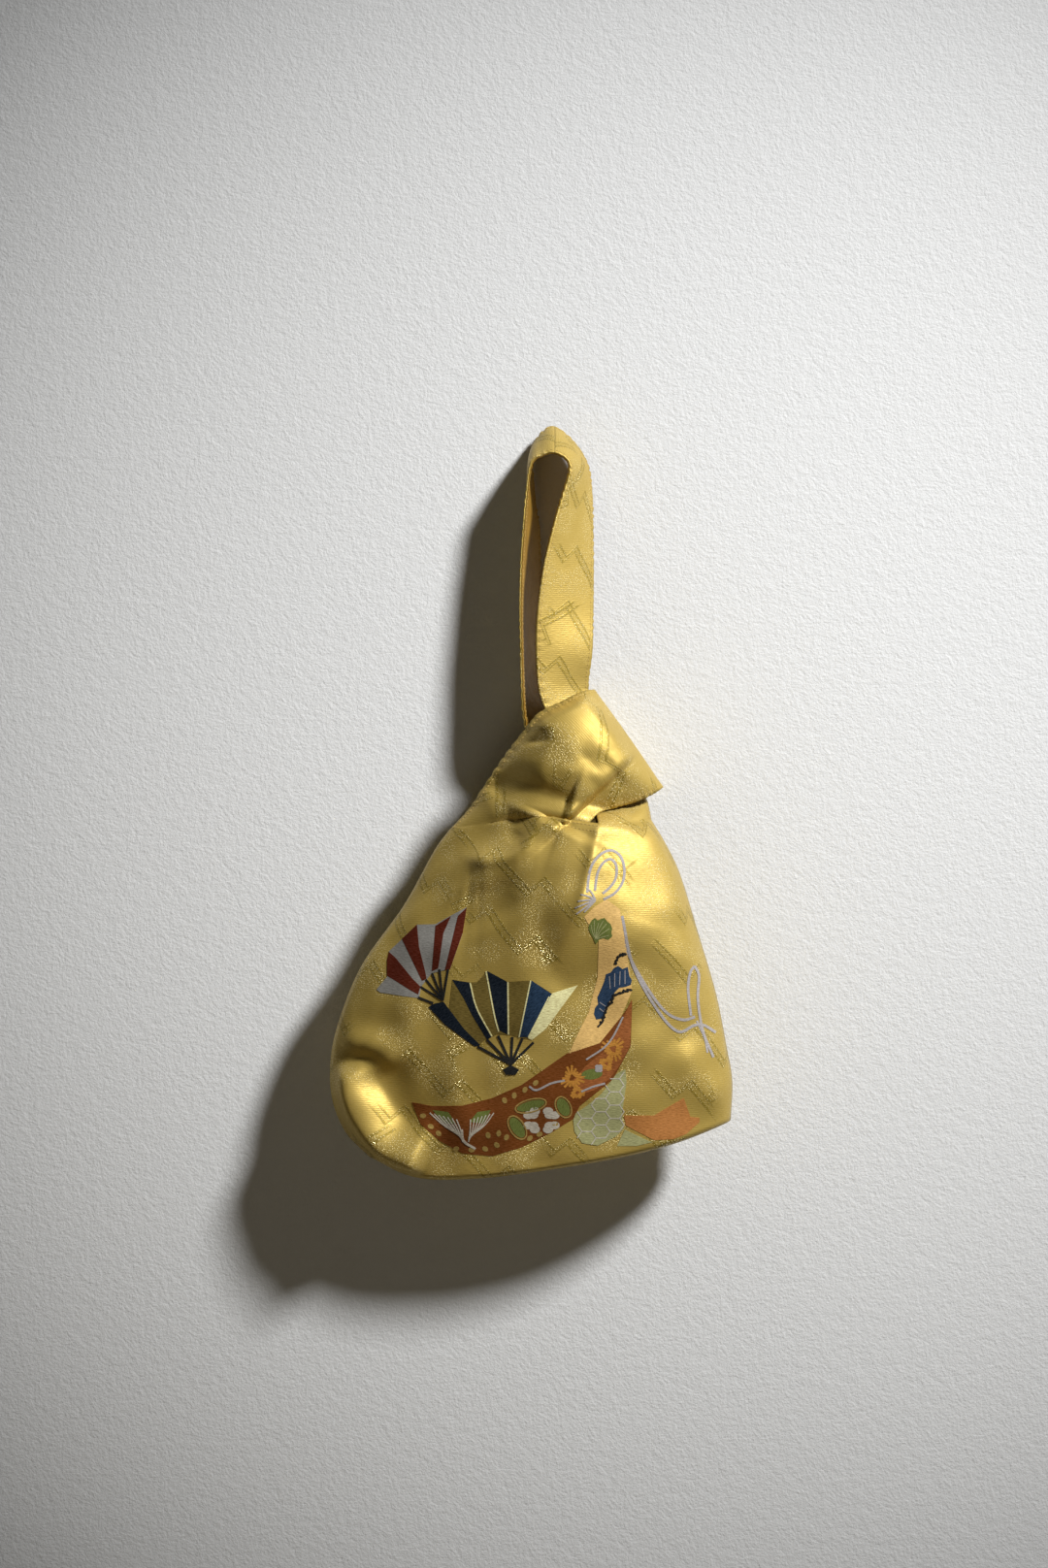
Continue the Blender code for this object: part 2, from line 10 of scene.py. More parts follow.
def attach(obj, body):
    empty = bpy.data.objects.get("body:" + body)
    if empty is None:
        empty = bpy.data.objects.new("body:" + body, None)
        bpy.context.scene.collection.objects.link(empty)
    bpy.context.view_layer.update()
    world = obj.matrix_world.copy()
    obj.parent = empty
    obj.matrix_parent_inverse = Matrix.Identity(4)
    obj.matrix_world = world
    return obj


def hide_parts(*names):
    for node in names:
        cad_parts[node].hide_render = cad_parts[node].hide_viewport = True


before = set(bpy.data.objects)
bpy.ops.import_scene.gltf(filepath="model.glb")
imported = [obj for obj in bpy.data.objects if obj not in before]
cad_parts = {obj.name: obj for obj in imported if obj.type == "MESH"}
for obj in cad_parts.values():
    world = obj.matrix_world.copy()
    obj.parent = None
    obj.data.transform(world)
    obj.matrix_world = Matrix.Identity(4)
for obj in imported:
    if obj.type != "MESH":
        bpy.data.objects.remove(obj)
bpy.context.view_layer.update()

startTime = time.time()
mm = 0.001


def say(text):
    print(f"[{time.time() - startTime:6.1f} s] {text}", flush=True)


# camera: its place, and how points of its 1080 x 1616 view map to the bag, in mm
shot = {
    "eye": (-20.0, -2045.0, -237.0),
    "plane": -45.0,  # y at which one pixel is mmPerPixel
    "mmPerPixel": 0.65,
    "hangPixel": (571.0, 443.0),
    "viewMiddle": (540, 808),
    "viewHigh": 1616,
    "sensor": 36.0,
}
eye = np.array(shot["eye"])


# x and y in the picture of points in mm
def toPixel(points):
    p = np.asarray(points, float)
    t = (shot["plane"] - eye[1]) / (p[..., 1] - eye[1])
    x = eye[0] + (p[..., 0] - eye[0]) * t
    z = eye[2] + (p[..., 2] - eye[2]) * t
    px = x / shot["mmPerPixel"] + shot["hangPixel"][0]
    py = shot["hangPixel"][1] - z / shot["mmPerPixel"]
    return np.stack([px, py], -1)


# the point in mm seen at a pixel, at a given y
def fromPixel(px, py, y=None):
    y = shot["plane"] if y is None else y
    x = (px - shot["hangPixel"][0]) * shot["mmPerPixel"]
    z = (shot["hangPixel"][1] - py) * shot["mmPerPixel"]
    t = (y - eye[1]) / (shot["plane"] - eye[1])
    return np.array([eye[0] + (x - eye[0]) * t, y, eye[2] + (z - eye[2]) * t])


# cloth: its shape in mm from the hang point, as in the CAD source
cloth = {
    "thick": 1.0,
    "liningGap": 0.15,
    "lining": 0.7,
    "strapBow": 1.5,
    "bandColumns": 54,
    "hemColumns": 32,
    "strapColumns": 32,
    "bodyRows": 110,
    "stationSteps": 12,
    "sideRound": 2.4,
    "leftRound": 1.55,
    "peak": 0.62,
    "baseTurn": 0.022,  # share of the height over which the base turns under
    "seamGap": 0.1,
    "edgeFade": 0.04,  # share of the width and height over which folds fade at the seams
    "easeStations": 1.6,
    "bowStations": 3.0,
    "foldsEnd": (6.6, 1.2),  # station of the band where the front's folds end, and over how many
    "ribbonStart": -262.0,
}
leftSide = [
    (-124, -487), (-140, -470), (-149, -445), (-148, -413), (-137, -378), (-125, -354), (-100, -319),
    (-80, -283), (-70, -269),
]
rightSide = [
    (118, -463), (119, -437), (115, -413), (108, -378), (96, -337), (84, -298), (74, -277), (65, -262),
]
baseLine = [(-124, -487), (-92, -500), (-52, -500), (-6, -494), (45, -485), (81, -476), (118, -463)]
topCorners = [(-70, -269), (-8, -258), (29, -264), (65, -262)]
# share of the height, y of the side seam, and how deep the front and the back swell from it
depths = [
    (0.0, -36, 35, 38), (0.35, -36, 44, 38), (0.65, -34, 47, 30), (0.85, -32, 37, 18), (1.0, -31, 26, 8),
]
# stations of the short handle: its left edge, middle and right edge
bandLines = [
    ((-70, -31, -269), (-40, -52, -263), (-8, -57, -258)),
    ((-57, -33, -255), (-28, -55, -256), (-3, -52, -261)),
    ((-46, -36, -238), (-15, -58, -250), (6, -46, -268)),
    ((-33, -39, -219), (-2, -60, -239), (17, -47, -270)),
    ((-20, -43, -202), (12, -61, -228), (28, -51, -258)),
    ((-10, -46, -190), (22, -61, -221), (40, -51, -253)),
    ((6, -47, -182), (35, -58, -214), (54, -48, -249)),
    ((18, -43, -176), (43, -51, -209), (66, -41, -244)),
    ((26.5, -30, -174), (50, -28, -206), (73, -28, -240)),
    ((22, -8, -175), (46, -5, -208), (68, -6, -242)),
    ((8, 5, -181), (36, 6, -216), (58, 5, -247)),
    ((-6, 9, -190), (22, 10, -224), (42, 8, -254)),
    ((-22, 6, -207), (7, 8, -233), (31, 5, -259)),
    ((-40, -5, -230), (-13, 1, -245), (18, -3, -262)),
    ((-57, -18, -254), (-30, -10, -255), (3, -9, -257)),
    ((-70, -31, -269), (-40, -21, -263), (-8, -23, -258)),
]
bandSeam = 11
# stations of the long handle: its left and right edge
strapLines = [
    ((29, -55, -264), (65, -31, -262)), ((27, -41, -254), (62, -29, -248)),
    ((19, -37, -235), (54, -26, -227)), ((7, -36, -212), (42, -23, -205)),
    ((-4, -37, -192), (29, -22, -188)), ((-10.5, -38, -173), (23.2, -21, -172)),
    ((-12.3, -38, -145), (25.8, -22, -147)), ((-11.2, -38, -120), (26.5, -16, -120)),
    ((-7, -37, -90), (26.7, -11, -90)), ((0, -34, -61), (26.5, -5, -62)),
    ((5.6, -31, -42), (26, 0, -40)), ((10.2, -28.5, -26), (23.4, 4.5, -19)),
    ((8.5, -27.5, -18.2), (14, 6, -3)), ((0.2, -27.5, -13.7), (0.5, 6, 7.6)),
    ((-7.5, -27.5, -15.3), (-8, 6, 3)), ((-14.9, -28, -21), (-14.5, 7.5, -9)),
    ((-18.2, -28.5, -42), (-13, 8, -40)), ((-20, -30, -61), (-10, 7.5, -61)),
    ((-21.8, -31, -88), (-9, 6, -88)), ((-22.5, -33, -118), (-9, 4, -118)),
    ((-22, -34, -145), (-8, 3, -145)), ((-21.4, -35, -173), (-5, 2.5, -170)),
    ((-20.3, -32, -191), (0, 2, -184)), ((-16, -26, -207), (8, -1, -199)),
    ((-3, -18, -220), (26, -6, -212)), ((12, -15, -237), (45, -15, -230)),
    ((24, -18, -252), (60, -24, -248)), ((29, -23, -264), (65, -31, -262)),
]
strapSeam = 13


def spline(points, at):
    p = np.array(points, float)
    before = np.concatenate([[2 * p[0] - p[1]], p, [2 * p[-1] - p[-2]]])
    at = np.clip(np.atleast_1d(np.array(at, float)), 0, len(p) - 1)
    i = np.minimum(at.astype(int), len(p) - 2)
    t = (at - i).reshape([-1] + [1] * (p.ndim - 1))
    a, b, c, d = before[i], before[i + 1], before[i + 2], before[i + 3]
    return b + 0.5 * t * (c - a + t * (2 * a - 5 * b + 4 * c - d + t * (3 * (b - c) + d - a)))


def byLength(points, fractions):
    fine = spline(points, np.linspace(0, len(points) - 1, 40 * len(points)))
    run = np.concatenate([[0], np.cumsum(np.linalg.norm(np.diff(fine, axis=0), axis=1))])
    return np.stack([np.interp(fractions, run / run[-1], fine[:, k]) for k in range(fine.shape[1])], 1)


def smooth(t):
    t = np.clip(t, 0, 1)
    return t * t * (3 - 2 * t)


# folds, drawn on the picture: path in pixels, height in mm, and how far each flank reaches in pixels,
# first the one on the left of the path as it is walked, then the one on its right, then how sharp it is
# and over what share of its length it fades at its ends
folds = {
    "crest": [(622, 830), (615, 862), (606, 895), (597, 932), (581, 978), (568, 1014)],
    "crestShape": (15.5, 125, 64, 1.2, (0.12, 0.55)),
    "others": [
        ([
            (468, 882), (486, 886), (502, 887), (518, 886), (532, 881), (544, 871), (550, 858), (560, 838),
        ], 8.5, 15, 60, 1.3, (0.3, 0.08)),
        ([(478, 885), (500, 887), (520, 885.5), (534, 880), (545, 869), (550, 856)], 2.4, 6, 8, 1.6, 0.25),
        ([(534, 856), (527, 870)], -1.2, 9, 9, 2.0, 0.2),
        ([(617, 846), (606, 895), (597, 932), (586, 966)], 2.4, 9, 6, 1.3, (0.1, 0.4)),
        ([(492, 906), (504, 932), (516, 958)], -4.0, 30, 44, 2.0, 0.35),
        ([(640, 840), (664, 830), (690, 822)], -2.5, 16, 22, 2.0, (0.15, 0.05)),
        ([(536, 1084), (544, 1062), (554, 1040), (566, 1018), (578, 1002)], 2.5, 34, 18, 2.0, 0.3),
        ([(498, 818), (528, 806), (556, 811), (592, 824)], -6.0, 17, 34, 1.5, (0.2, 0.06)),
        ([(552, 752), (555, 770)], -2.5, 11, 11, 2.0, 0.3),
        ([(344, 1096), (354, 1128), (368, 1156), (394, 1186), (440, 1206)], 14.0, 30, 16, 1.5, 0.12),
        ([(350, 1078), (372, 1090), (392, 1116), (412, 1146), (446, 1174)], -8.0, 34, 18, 1.6, (0.5, 0.3)),
        ([(342, 1076), (372, 1074), (396, 1084), (412, 1106)], 5.0, 16, 10, 2.0, 0.3),
        ([(470, 880), (452, 940), (432, 1000)], 2.0, 26, 30, 2.0, 0.3),
        ([(690, 1072), (722, 1104), (748, 1142)], 3.0, 16, 22, 2.0, 0.3),
        ([(724, 1000), (736, 1040), (744, 1090)], -2.2, 10, 10, 2.0, 0.3),
        ([(640, 860), (690, 880), (716, 960)], 1.2, 14, 14, 2.0, 0.3),
        ([(664, 900), (690, 950), (700, 1010)], -1.2, 14, 14, 2.0, 0.3),
        ([
            (556, 735), (567, 755), (566, 772), (559, 788), (563, 803), (578, 812), (600, 834),
        ], 13.0, 90, 36, 1.5, (0.1, 0.05)),
        ([(590, 770), (606, 784), (622, 801)], -0.7, 6, 6, 2.0, 0.3),
        ([(570, 794), (600, 796), (626, 806)], 0.7, 7, 7, 2.0, 0.3),
        ([(596, 786), (612, 806), (620, 824)], -0.9, 7, 7, 2.0, 0.3),
        ([(606, 752), (630, 782), (656, 812)], 1.6, 10, 10, 2.0, 0.3),
        ([(618, 776), (636, 800), (646, 820)], -1.2, 6, 6, 2.0, 0.3),
    ],
}
frontFolds = [(folds["crest"], *folds["crestShape"])] + folds["others"]
wrinkle = {
    "height": 0.55,
    "long": 34.0,
    "seed": 4,
    "puckerHeight": 0.28,
    "puckerLong": 4.6,
    "puckerReach": 4.0,
}


# smooth irregular waves over points, from about -1 to 1
def ripple(points, long, seed, waves=9):
    source = np.random.default_rng(seed)
    total = np.zeros(len(points))
    for _ in range(waves):
        way = source.normal(size=points.shape[1])
        way /= np.linalg.norm(way)
        length = long * source.uniform(0.7, 1.5)
        total += np.sin(points @ way * 2 * math.pi / length + source.uniform(0, 2 * math.pi))
    return total / math.sqrt(waves / 2)


# distance to a path, signed by side, and how far along it, from 0 to 1
def alongPath(path, p):
    steps = np.linalg.norm(np.diff(path, axis=0), axis=1)
    start = np.concatenate([[0], np.cumsum(steps)])
    best = np.full(len(p), 1e9)
    side, along = np.zeros(len(p)), np.zeros(len(p))
    for k in range(len(path) - 1):
        a, d = path[k], path[k + 1] - path[k]
        t = np.clip(((p - a) @ d) / (d @ d), 0, 1)
        off = p - a - t[:, None] * d
        far = np.linalg.norm(off, axis=1)
        near = far < best
        best[near] = far[near]
        side[near] = np.sign(d[0] * off[near, 1] - d[1] * off[near, 0])
        along[near] = (start[k] + t[near] * steps[k]) / start[-1]
    return best, side, along


def foldHeight(pixels):
    total = np.zeros(len(pixels))
    for path, height, leftReach, rightReach, power, ends in frontFolds:
        far, side, along = alongPath(byLength(path, np.linspace(0, 1, 14)), pixels)
        reach = np.where(side < 0, leftReach, rightReach)
        first, last = ends if isinstance(ends, tuple) else (ends, ends)
        taper = smooth(along / first) * smooth((1 - along) / last)
        total += height * np.exp(-((far / reach) ** power)) * taper
    return total


def bodyGrid(side):
    columns = cloth["bandColumns"] + cloth["hemColumns"] + cloth["strapColumns"]
    u = np.linspace(0, 1, columns + 1)
    turn = cloth["baseTurn"]
    low = turn * (1 - np.cos(np.linspace(0, math.pi / 2, 12)))
    v = np.concatenate([low, turn + (1 - turn) * np.linspace(0, 1, cloth["bodyRows"] + 1)[1:]])
    at = [0, cloth["bandColumns"], cloth["bandColumns"] + cloth["hemColumns"], columns]
    i = np.arange(columns + 1)
    top = np.stack([np.interp(i, at, [c[k] for c in topCorners]) for k in range(2)], 1)
    base = byLength(baseLine, u)
    left, right = byLength(leftSide, v), byLength(rightSide, v)
    vv, uu = v[:, None, None], u[None, :, None]
    xz = (1 - vv) * base[None] + vv * top[None] + (1 - uu) * left[:, None] + uu * right[:, None]
    xz = xz - (1 - vv) * ((1 - uu) * base[0] + uu * base[-1]) - vv * ((1 - uu) * top[0] + uu * top[-1])
    heights = [d[0] for d in depths]
    seam = np.interp(v, heights, [d[1] for d in depths])
    station = np.interp(v, heights, np.arange(len(depths)))
    depth = spline([d[2 if side < 0 else 3] for d in depths], station)
    t = np.clip(1 - v / turn, 0, 1)
    depth = depth * (1 - t**3) ** (1 / 3)
    # the front is fullest right of its middle, and falls away more evenly to the left
    peak = cloth["peak"] if side < 0 else 0.5
    across = np.where(u < peak, 1 - u / peak, 1 - (1 - u) / (1 - peak))
    power = np.where((u < peak) & (side < 0), cloth["leftRound"], cloth["sideRound"])
    rounded = (1 - across**power) ** (1 / power)
    y = seam[:, None] + side * (cloth["seamGap"] / 2 + depth[:, None] * rounded[None])
    return np.stack([xz[..., 0], y, xz[..., 1]], -1), u, v


def ribbonGrid(lines, first, last, columns):
    count = abs(last - first) * cloth["stationSteps"]
    t = np.linspace(0, 1, columns + 1)[None, :, None]
    s = spline(np.array(lines, float), np.linspace(first, last, count + 1))
    if s.shape[1] == 2:
        return s[:, :1] * (1 - t) + s[:, 1:] * t
    return s[:, :1] * (1 - t) * (1 - 2 * t) + s[:, 1:2] * 4 * t * (1 - t) + s[:, 2:] * t * (2 * t - 1)


def gridNormals(g):
    du = np.gradient(g, axis=1)
    dv = np.gradient(g, axis=0)
    n = np.cross(du, dv)
    return n / np.maximum(np.linalg.norm(n, axis=-1, keepdims=True), 1e-9)


# how far each row of a ribbon lies along it, in mm, measured down its middle
def lengths(g):
    middle = g[:, g.shape[1] // 2]
    return np.concatenate([[0], np.cumsum(np.linalg.norm(np.diff(middle, axis=0), axis=1))])


# one panel's middle surface with its cloth coordinates
class Panel:
    def __init__(self, side):
        flip = side > 0
        body, u, v = bodyGrid(side)
        bandEnd, hemEnd = cloth["bandColumns"], cloth["bandColumns"] + cloth["hemColumns"]
        first = (0, 0) if side < 0 else (len(bandLines) - 1, len(strapLines) - 1)
        band = ribbonGrid(bandLines, first[0], bandSeam, cloth["bandColumns"])
        strap = ribbonGrid(strapLines, first[1], strapSeam, cloth["strapColumns"])
        t = np.linspace(0, 1, strap.shape[1])[None, :, None]
        grow = smooth(np.arange(len(strap)) / (cloth["bowStations"] * cloth["stationSteps"]))[:, None, None]
        outward = 1 if side > 0 else -1
        strap = strap - outward * gridNormals(strap) * cloth["strapBow"] * 4 * t * (1 - t) * grow
        # the first rows of each ribbon ease away from the body's top edge
        self.ease(band, body[-1, : bandEnd + 1])
        if side < 0:
            mask = self.edgeMask(u, v)
            body[..., 1] -= self.folds(body) * mask
            band[..., 1] -= self.folds(band) * mask[-1:, : bandEnd + 1] * self.frontMask(band)
        body[..., 1] += side * self.wrinkles(body, 1) * self.edgeMask(u, v)
        self.ease(strap, body[-1, hemEnd:])
        self.pucker(band, 5)
        self.pucker(strap, 7)
        self.points, self.faces, self.uv = [], [], []
        across = self.acrossCloth(body)
        self.bodyIds = self.add(body, across, body[..., 2], None, flip)
        top = self.bodyIds[-1]
        self.bandIds = self.addRibbon(band, across[-1, : bandEnd + 1], top[: bandEnd + 1], flip)
        self.strapIds = self.addRibbon(strap, across[-1, hemEnd:], top[hemEnd:], flip)
        self.points = np.array(self.points)
        self.uv = np.array(self.uv) * mm
        self.normals = self.vertexNormals()

    # the cloth's own width, measured along each row from its middle column
    def acrossCloth(self, grid):
        steps = np.linalg.norm(np.diff(grid, axis=1), axis=2)
        run = np.concatenate([np.zeros((len(grid), 1)), np.cumsum(steps, 1)], 1)
        middle = grid.shape[1] // 2
        turn = np.sign(grid[:, -1:, 0] - grid[:, :1, 0])
        return (run - run[:, middle : middle + 1]) * turn + grid[:, middle : middle + 1, 0]

    def ease(self, ribbon, row):
        fade = 1 - smooth(np.arange(len(ribbon)) / (cloth["easeStations"] * cloth["stationSteps"]))
        ribbon += (row - ribbon[0])[None] * fade[:, None, None]

    def folds(self, grid):
        return foldHeight(toPixel(grid.reshape(-1, 3))).reshape(grid.shape[:2])

    def wrinkles(self, grid, seed):
        flat = grid.reshape(-1, 3)
        waves = ripple(flat, wrinkle["long"], seed + wrinkle["seed"])
        return wrinkle["height"] * waves.reshape(grid.shape[:2])

    # the sewn edges draw the cloth into small puckers
    def pucker(self, ribbon, seed):
        along = lengths(ribbon)
        wave = np.stack([ripple(along[:, None], wrinkle["puckerLong"], seed + k) for k in range(2)], 1)
        wide = np.linalg.norm(ribbon[:, -1] - ribbon[:, 0], axis=1)
        t = np.linspace(0, 1, ribbon.shape[1])[None]
        near = [np.exp(-((f * wide[:, None]) / wrinkle["puckerReach"]) ** 2) for f in (t, 1 - t)]
        lift = wrinkle["puckerHeight"] * (wave[:, :1] * near[0] + wave[:, 1:] * near[1])
        rows = np.arange(len(ribbon))
        lift *= smooth(np.minimum(rows, len(ribbon) - 1 - rows) / cloth["stationSteps"])[:, None]
        ribbon += gridNormals(ribbon) * lift[..., None]

    def edgeMask(self, u, v):
        a = smooth(np.minimum(u, 1 - u) / cloth["edgeFade"])[None]
        return a * smooth(v / cloth["edgeFade"])[:, None]

    def frontMask(self, band):
        rows = np.arange(len(band)) / cloth["stationSteps"]
        end, fade = cloth["foldsEnd"]
        return (1 - smooth((rows - end) / fade))[:, None]

    def addRibbon(self, ribbon, across, first, flip):
        us = across[None].repeat(len(ribbon), 0)
        vs = cloth["ribbonStart"] + lengths(ribbon)[:, None].repeat(ribbon.shape[1], 1)
        return self.add(ribbon, us, vs, first, flip)

    # points, faces and cloth coordinates of a grid, whose first row may be shared
    def add(self, grid, us, vs, first, flip):
        ids = [list(first)] if first is not None else []
        begin = 1 if first is not None else 0
        for j in range(begin, len(grid)):
            start = len(self.points)
            self.points.extend(grid[j])
            self.uv.extend(zip(us[j], vs[j]))
            ids.append(list(range(start, start + grid.shape[1])))
        for a, b in zip(ids, ids[1:]):
            for k in range(len(a) - 1):
                f = (a[k], a[k + 1], b[k + 1], b[k])
                self.faces.append(f[::-1] if flip else f)
        return ids

    # the points of the side seams and the base
    def seam(self):
        return [r[0] for r in self.bodyIds] + [r[-1] for r in self.bodyIds] + self.bodyIds[0]

    def vertexNormals(self):
        f = np.array(self.faces)
        p = self.points
        n = np.zeros_like(p)
        cross = np.cross(p[f[:, 2]] - p[f[:, 0]], p[f[:, 3]] - p[f[:, 1]])
        for k in range(4):
            np.add.at(n, f[:, k], cross)
        return n / np.maximum(np.linalg.norm(n, axis=1, keepdims=True), 1e-9)


def rimOf(faces):
    seen = set()
    for f in faces:
        for a, b in zip(f, f[1:] + f[:1]):
            if (b, a) in seen:
                seen.remove((b, a))
            else:
                seen.add((a, b))
    return list(seen)


def makeMesh(name, points, faces, material, uv=None, smoothed=True):
    mesh = bpy.data.meshes.new(name)
    mesh.from_pydata([tuple(p) for p in np.asarray(points) * mm], [], [tuple(f) for f in faces])
    if uv is not None:
        layer = mesh.uv_layers.new(name="Cloth")
        index = np.zeros(len(mesh.loops), np.int32)
        mesh.loops.foreach_get("vertex_index", index)
        layer.data.foreach_set("uv", np.asarray(uv, np.float32)[index].ravel())
    mesh.polygons.foreach_set("use_smooth", [smoothed] * len(mesh.polygons))
    mesh.materials.append(material)
    made = bpy.data.objects.new(name, mesh)
    bpy.context.scene.collection.objects.link(made)
    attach(made, "root")
    return made


# a closed thin shell between two offsets of a panel's middle surface
def clothPiece(name, panel, inner, outer, material):
    p, n = panel.points, panel.normals
    count = len(p)
    faces = [tuple(i + count for i in f) for f in panel.faces]
    faces += [tuple(reversed(f)) for f in panel.faces]
    faces += [(b + count, a + count, a, b) for a, b in rimOf(panel.faces)]
    points = np.concatenate([p + n * inner, p + n * outer])
    return makeMesh(name, points, faces, material, np.concatenate([panel.uv, panel.uv]))


# a socket with arithmetic that makes nodes
class Value:
    def __init__(self, build, socket):
        self.build, self.socket = build, socket

    def op(self, kind, other=None, flip=False):
        inputs = [self, other] if not flip else [other, self]
        inputs = [i for i in inputs if i is not None]
        return self.build.node("ShaderNodeMath", {"operation": kind}, dict(enumerate(inputs)))

    def __add__(self, other):
        return self.op("ADD", other)

    def __radd__(self, other):
        return self.op("ADD", other)

    def __sub__(self, other):
        return self.op("SUBTRACT", other)

    def __rsub__(self, other):
        return self.op("SUBTRACT", other, True)

    def __mul__(self, other):
        return self.op("MULTIPLY", other)

    def __rmul__(self, other):
        return self.op("MULTIPLY", other)

    def __truediv__(self, other):
        return self.op("DIVIDE", other)

    def __rtruediv__(self, other):
        return self.op("DIVIDE", other, True)


# a material and the one method that makes its nodes
class Shading:
    def __init__(self, name):
        self.material = bpy.data.materials.new(name)
        self.material.use_nodes = True
        self.tree = self.material.node_tree
        self.tree.nodes.clear()
        self.out = self.tree.nodes.new("ShaderNodeOutputMaterial")

    def node(self, kind, settings=None, inputs=None, output=0):
        made = self.tree.nodes.new(kind)
        for key, value in (settings or {}).items():
            setattr(made, key, value)
        for key, value in (inputs or {}).items():
            self.link(value, made.inputs[key])
        return Value(self, made.outputs[output])

    def link(self, value, socket):
        if isinstance(value, Value):
            self.tree.links.new(value.socket, socket)
        elif isinstance(value, tuple) and len(value) == 3 and socket.type == "RGBA":
            socket.default_value = (*value, 1.0)
        else:
            socket.default_value = value

    def mix(self, factor, a, b, kind="MIX"):
        settings = {"data_type": "RGBA", "blend_type": kind}
        return self.node("ShaderNodeMix", settings, {0: factor, 6: a, 7: b}, 2)

    def noise(self, vector, scale, detail=2.0, rough=0.5):
        inputs = {"Vector": vector, "Scale": scale, "Detail": detail, "Roughness": rough}
        return self.node("ShaderNodeTexNoise", {}, inputs)

    def combine(self, x, y, z=0.0):
        return self.node("ShaderNodeCombineXYZ", {}, {0: x, 1: y, 2: z})

    def separate(self, vector):
        split = self.node("ShaderNodeSeparateXYZ", {}, {0: vector}).socket.node
        return [Value(self, socket) for socket in split.outputs]

    def bump(self, strength, depth, height):
        inputs = {"Strength": strength, "Distance": depth, "Height": height}
        return self.node("ShaderNodeBump", {}, inputs)

    def between(self, value, low, high, a=0.0, b=1.0):
        inputs = {0: value, 1: low, 2: high, 3: a, 4: b}
        return self.node("ShaderNodeMapRange", {"interpolation_type": "SMOOTHSTEP"}, inputs)

    def surface(self, **inputs):
        named = {key.replace("_", " "): value for key, value in inputs.items()}
        shader = self.node("ShaderNodeBsdfPrincipled", {}, named)
        self.link(shader, self.out.inputs["Surface"])
        return self.material


# the brocade, on the map called Cloth, in metres
gold = {
    "lit": (0.51, 0.37, 0.095),
    "deep": (0.41, 0.285, 0.055),
    "warm": (0.58, 0.435, 0.13),
    "line": (0.27, 0.19, 0.02),
    # the paler gold of the metal threads, made near white as a painted glint
    "metalThreadAndPaintedGlint": (1.0, 0.86, 0.45),
    "roughness": 0.5,
    "metallic": 0.42,
    "shine": 0.26,
    "weftPerMetre": 1500.0,
    "bandTurn": -28.0,
    "crossTurn": 74.0,  # of the second lattice to the first
    "bandSpacing": 0.036,
    "crossSpacing": 1.9,  # times the first's
    "bandPeriod": 0.041,
    "bandShift": 0.0137,
    "bandStep": 0.014,
    "bandWide": 0.0024,
    "bandStarts": (0.013, 0.031),
    "jumpFrom": 0.80,
    "jumpLong": 0.13,
    "threadWide": 0.0005,
    "wobble": 0.0009,
    "wobbleScale": 420.0,
    "seenScale": 20.0,
    "seenFrom": (0.40, 0.50),
    "crossSeenScale": 26.0,
    "crossSeenFrom": (0.52, 0.58),
    "threadScale": (260.0, 1700.0),
    "sparkScale": (900.0, 1500.0),
    "sparkFrom": (0.58, 0.66),
    "patchScale": 34.0,
    "patchFrom": (0.45, 0.62),
    "cloudScale": 14.0,
    "bump": 0.5,
    "bumpDepth": 0.0003,
}


# parallel lightning bands: a long run, then a short one turned back, over and over
def lightning(s, x, y, wobble, degrees, shift, spacing):
    c, d = math.cos(math.radians(degrees)), math.sin(math.radians(degrees))
    along = x * c + y * d + shift
    across = y * c - x * d
    row = (across / spacing).op("FLOOR")
    turn = ((along + row * gold["bandShift"]) / gold["bandPeriod"]).op("FRACT")
    # within a period the band runs level for most of it, then jumps back up steeply
    jump = ((turn - gold["jumpFrom"]) / gold["jumpLong"]).op("MAXIMUM", 0.0).op("MINIMUM", 1.0)
    centre = (jump - turn) * gold["bandStep"] + wobble * gold["wobble"]
    away = (((across / spacing).op("FRACT") - 0.5) * spacing - centre).op("ABSOLUTE")
    wide, thread = gold["bandWide"], gold["threadWide"]
    rim = s.between((away - wide).op("ABSOLUTE"), thread, thread * 2.2, 1.0, 0.0)
    fill = s.between(away, wide * 0.7, wide, 1.0, 0.0)
    return rim, fill


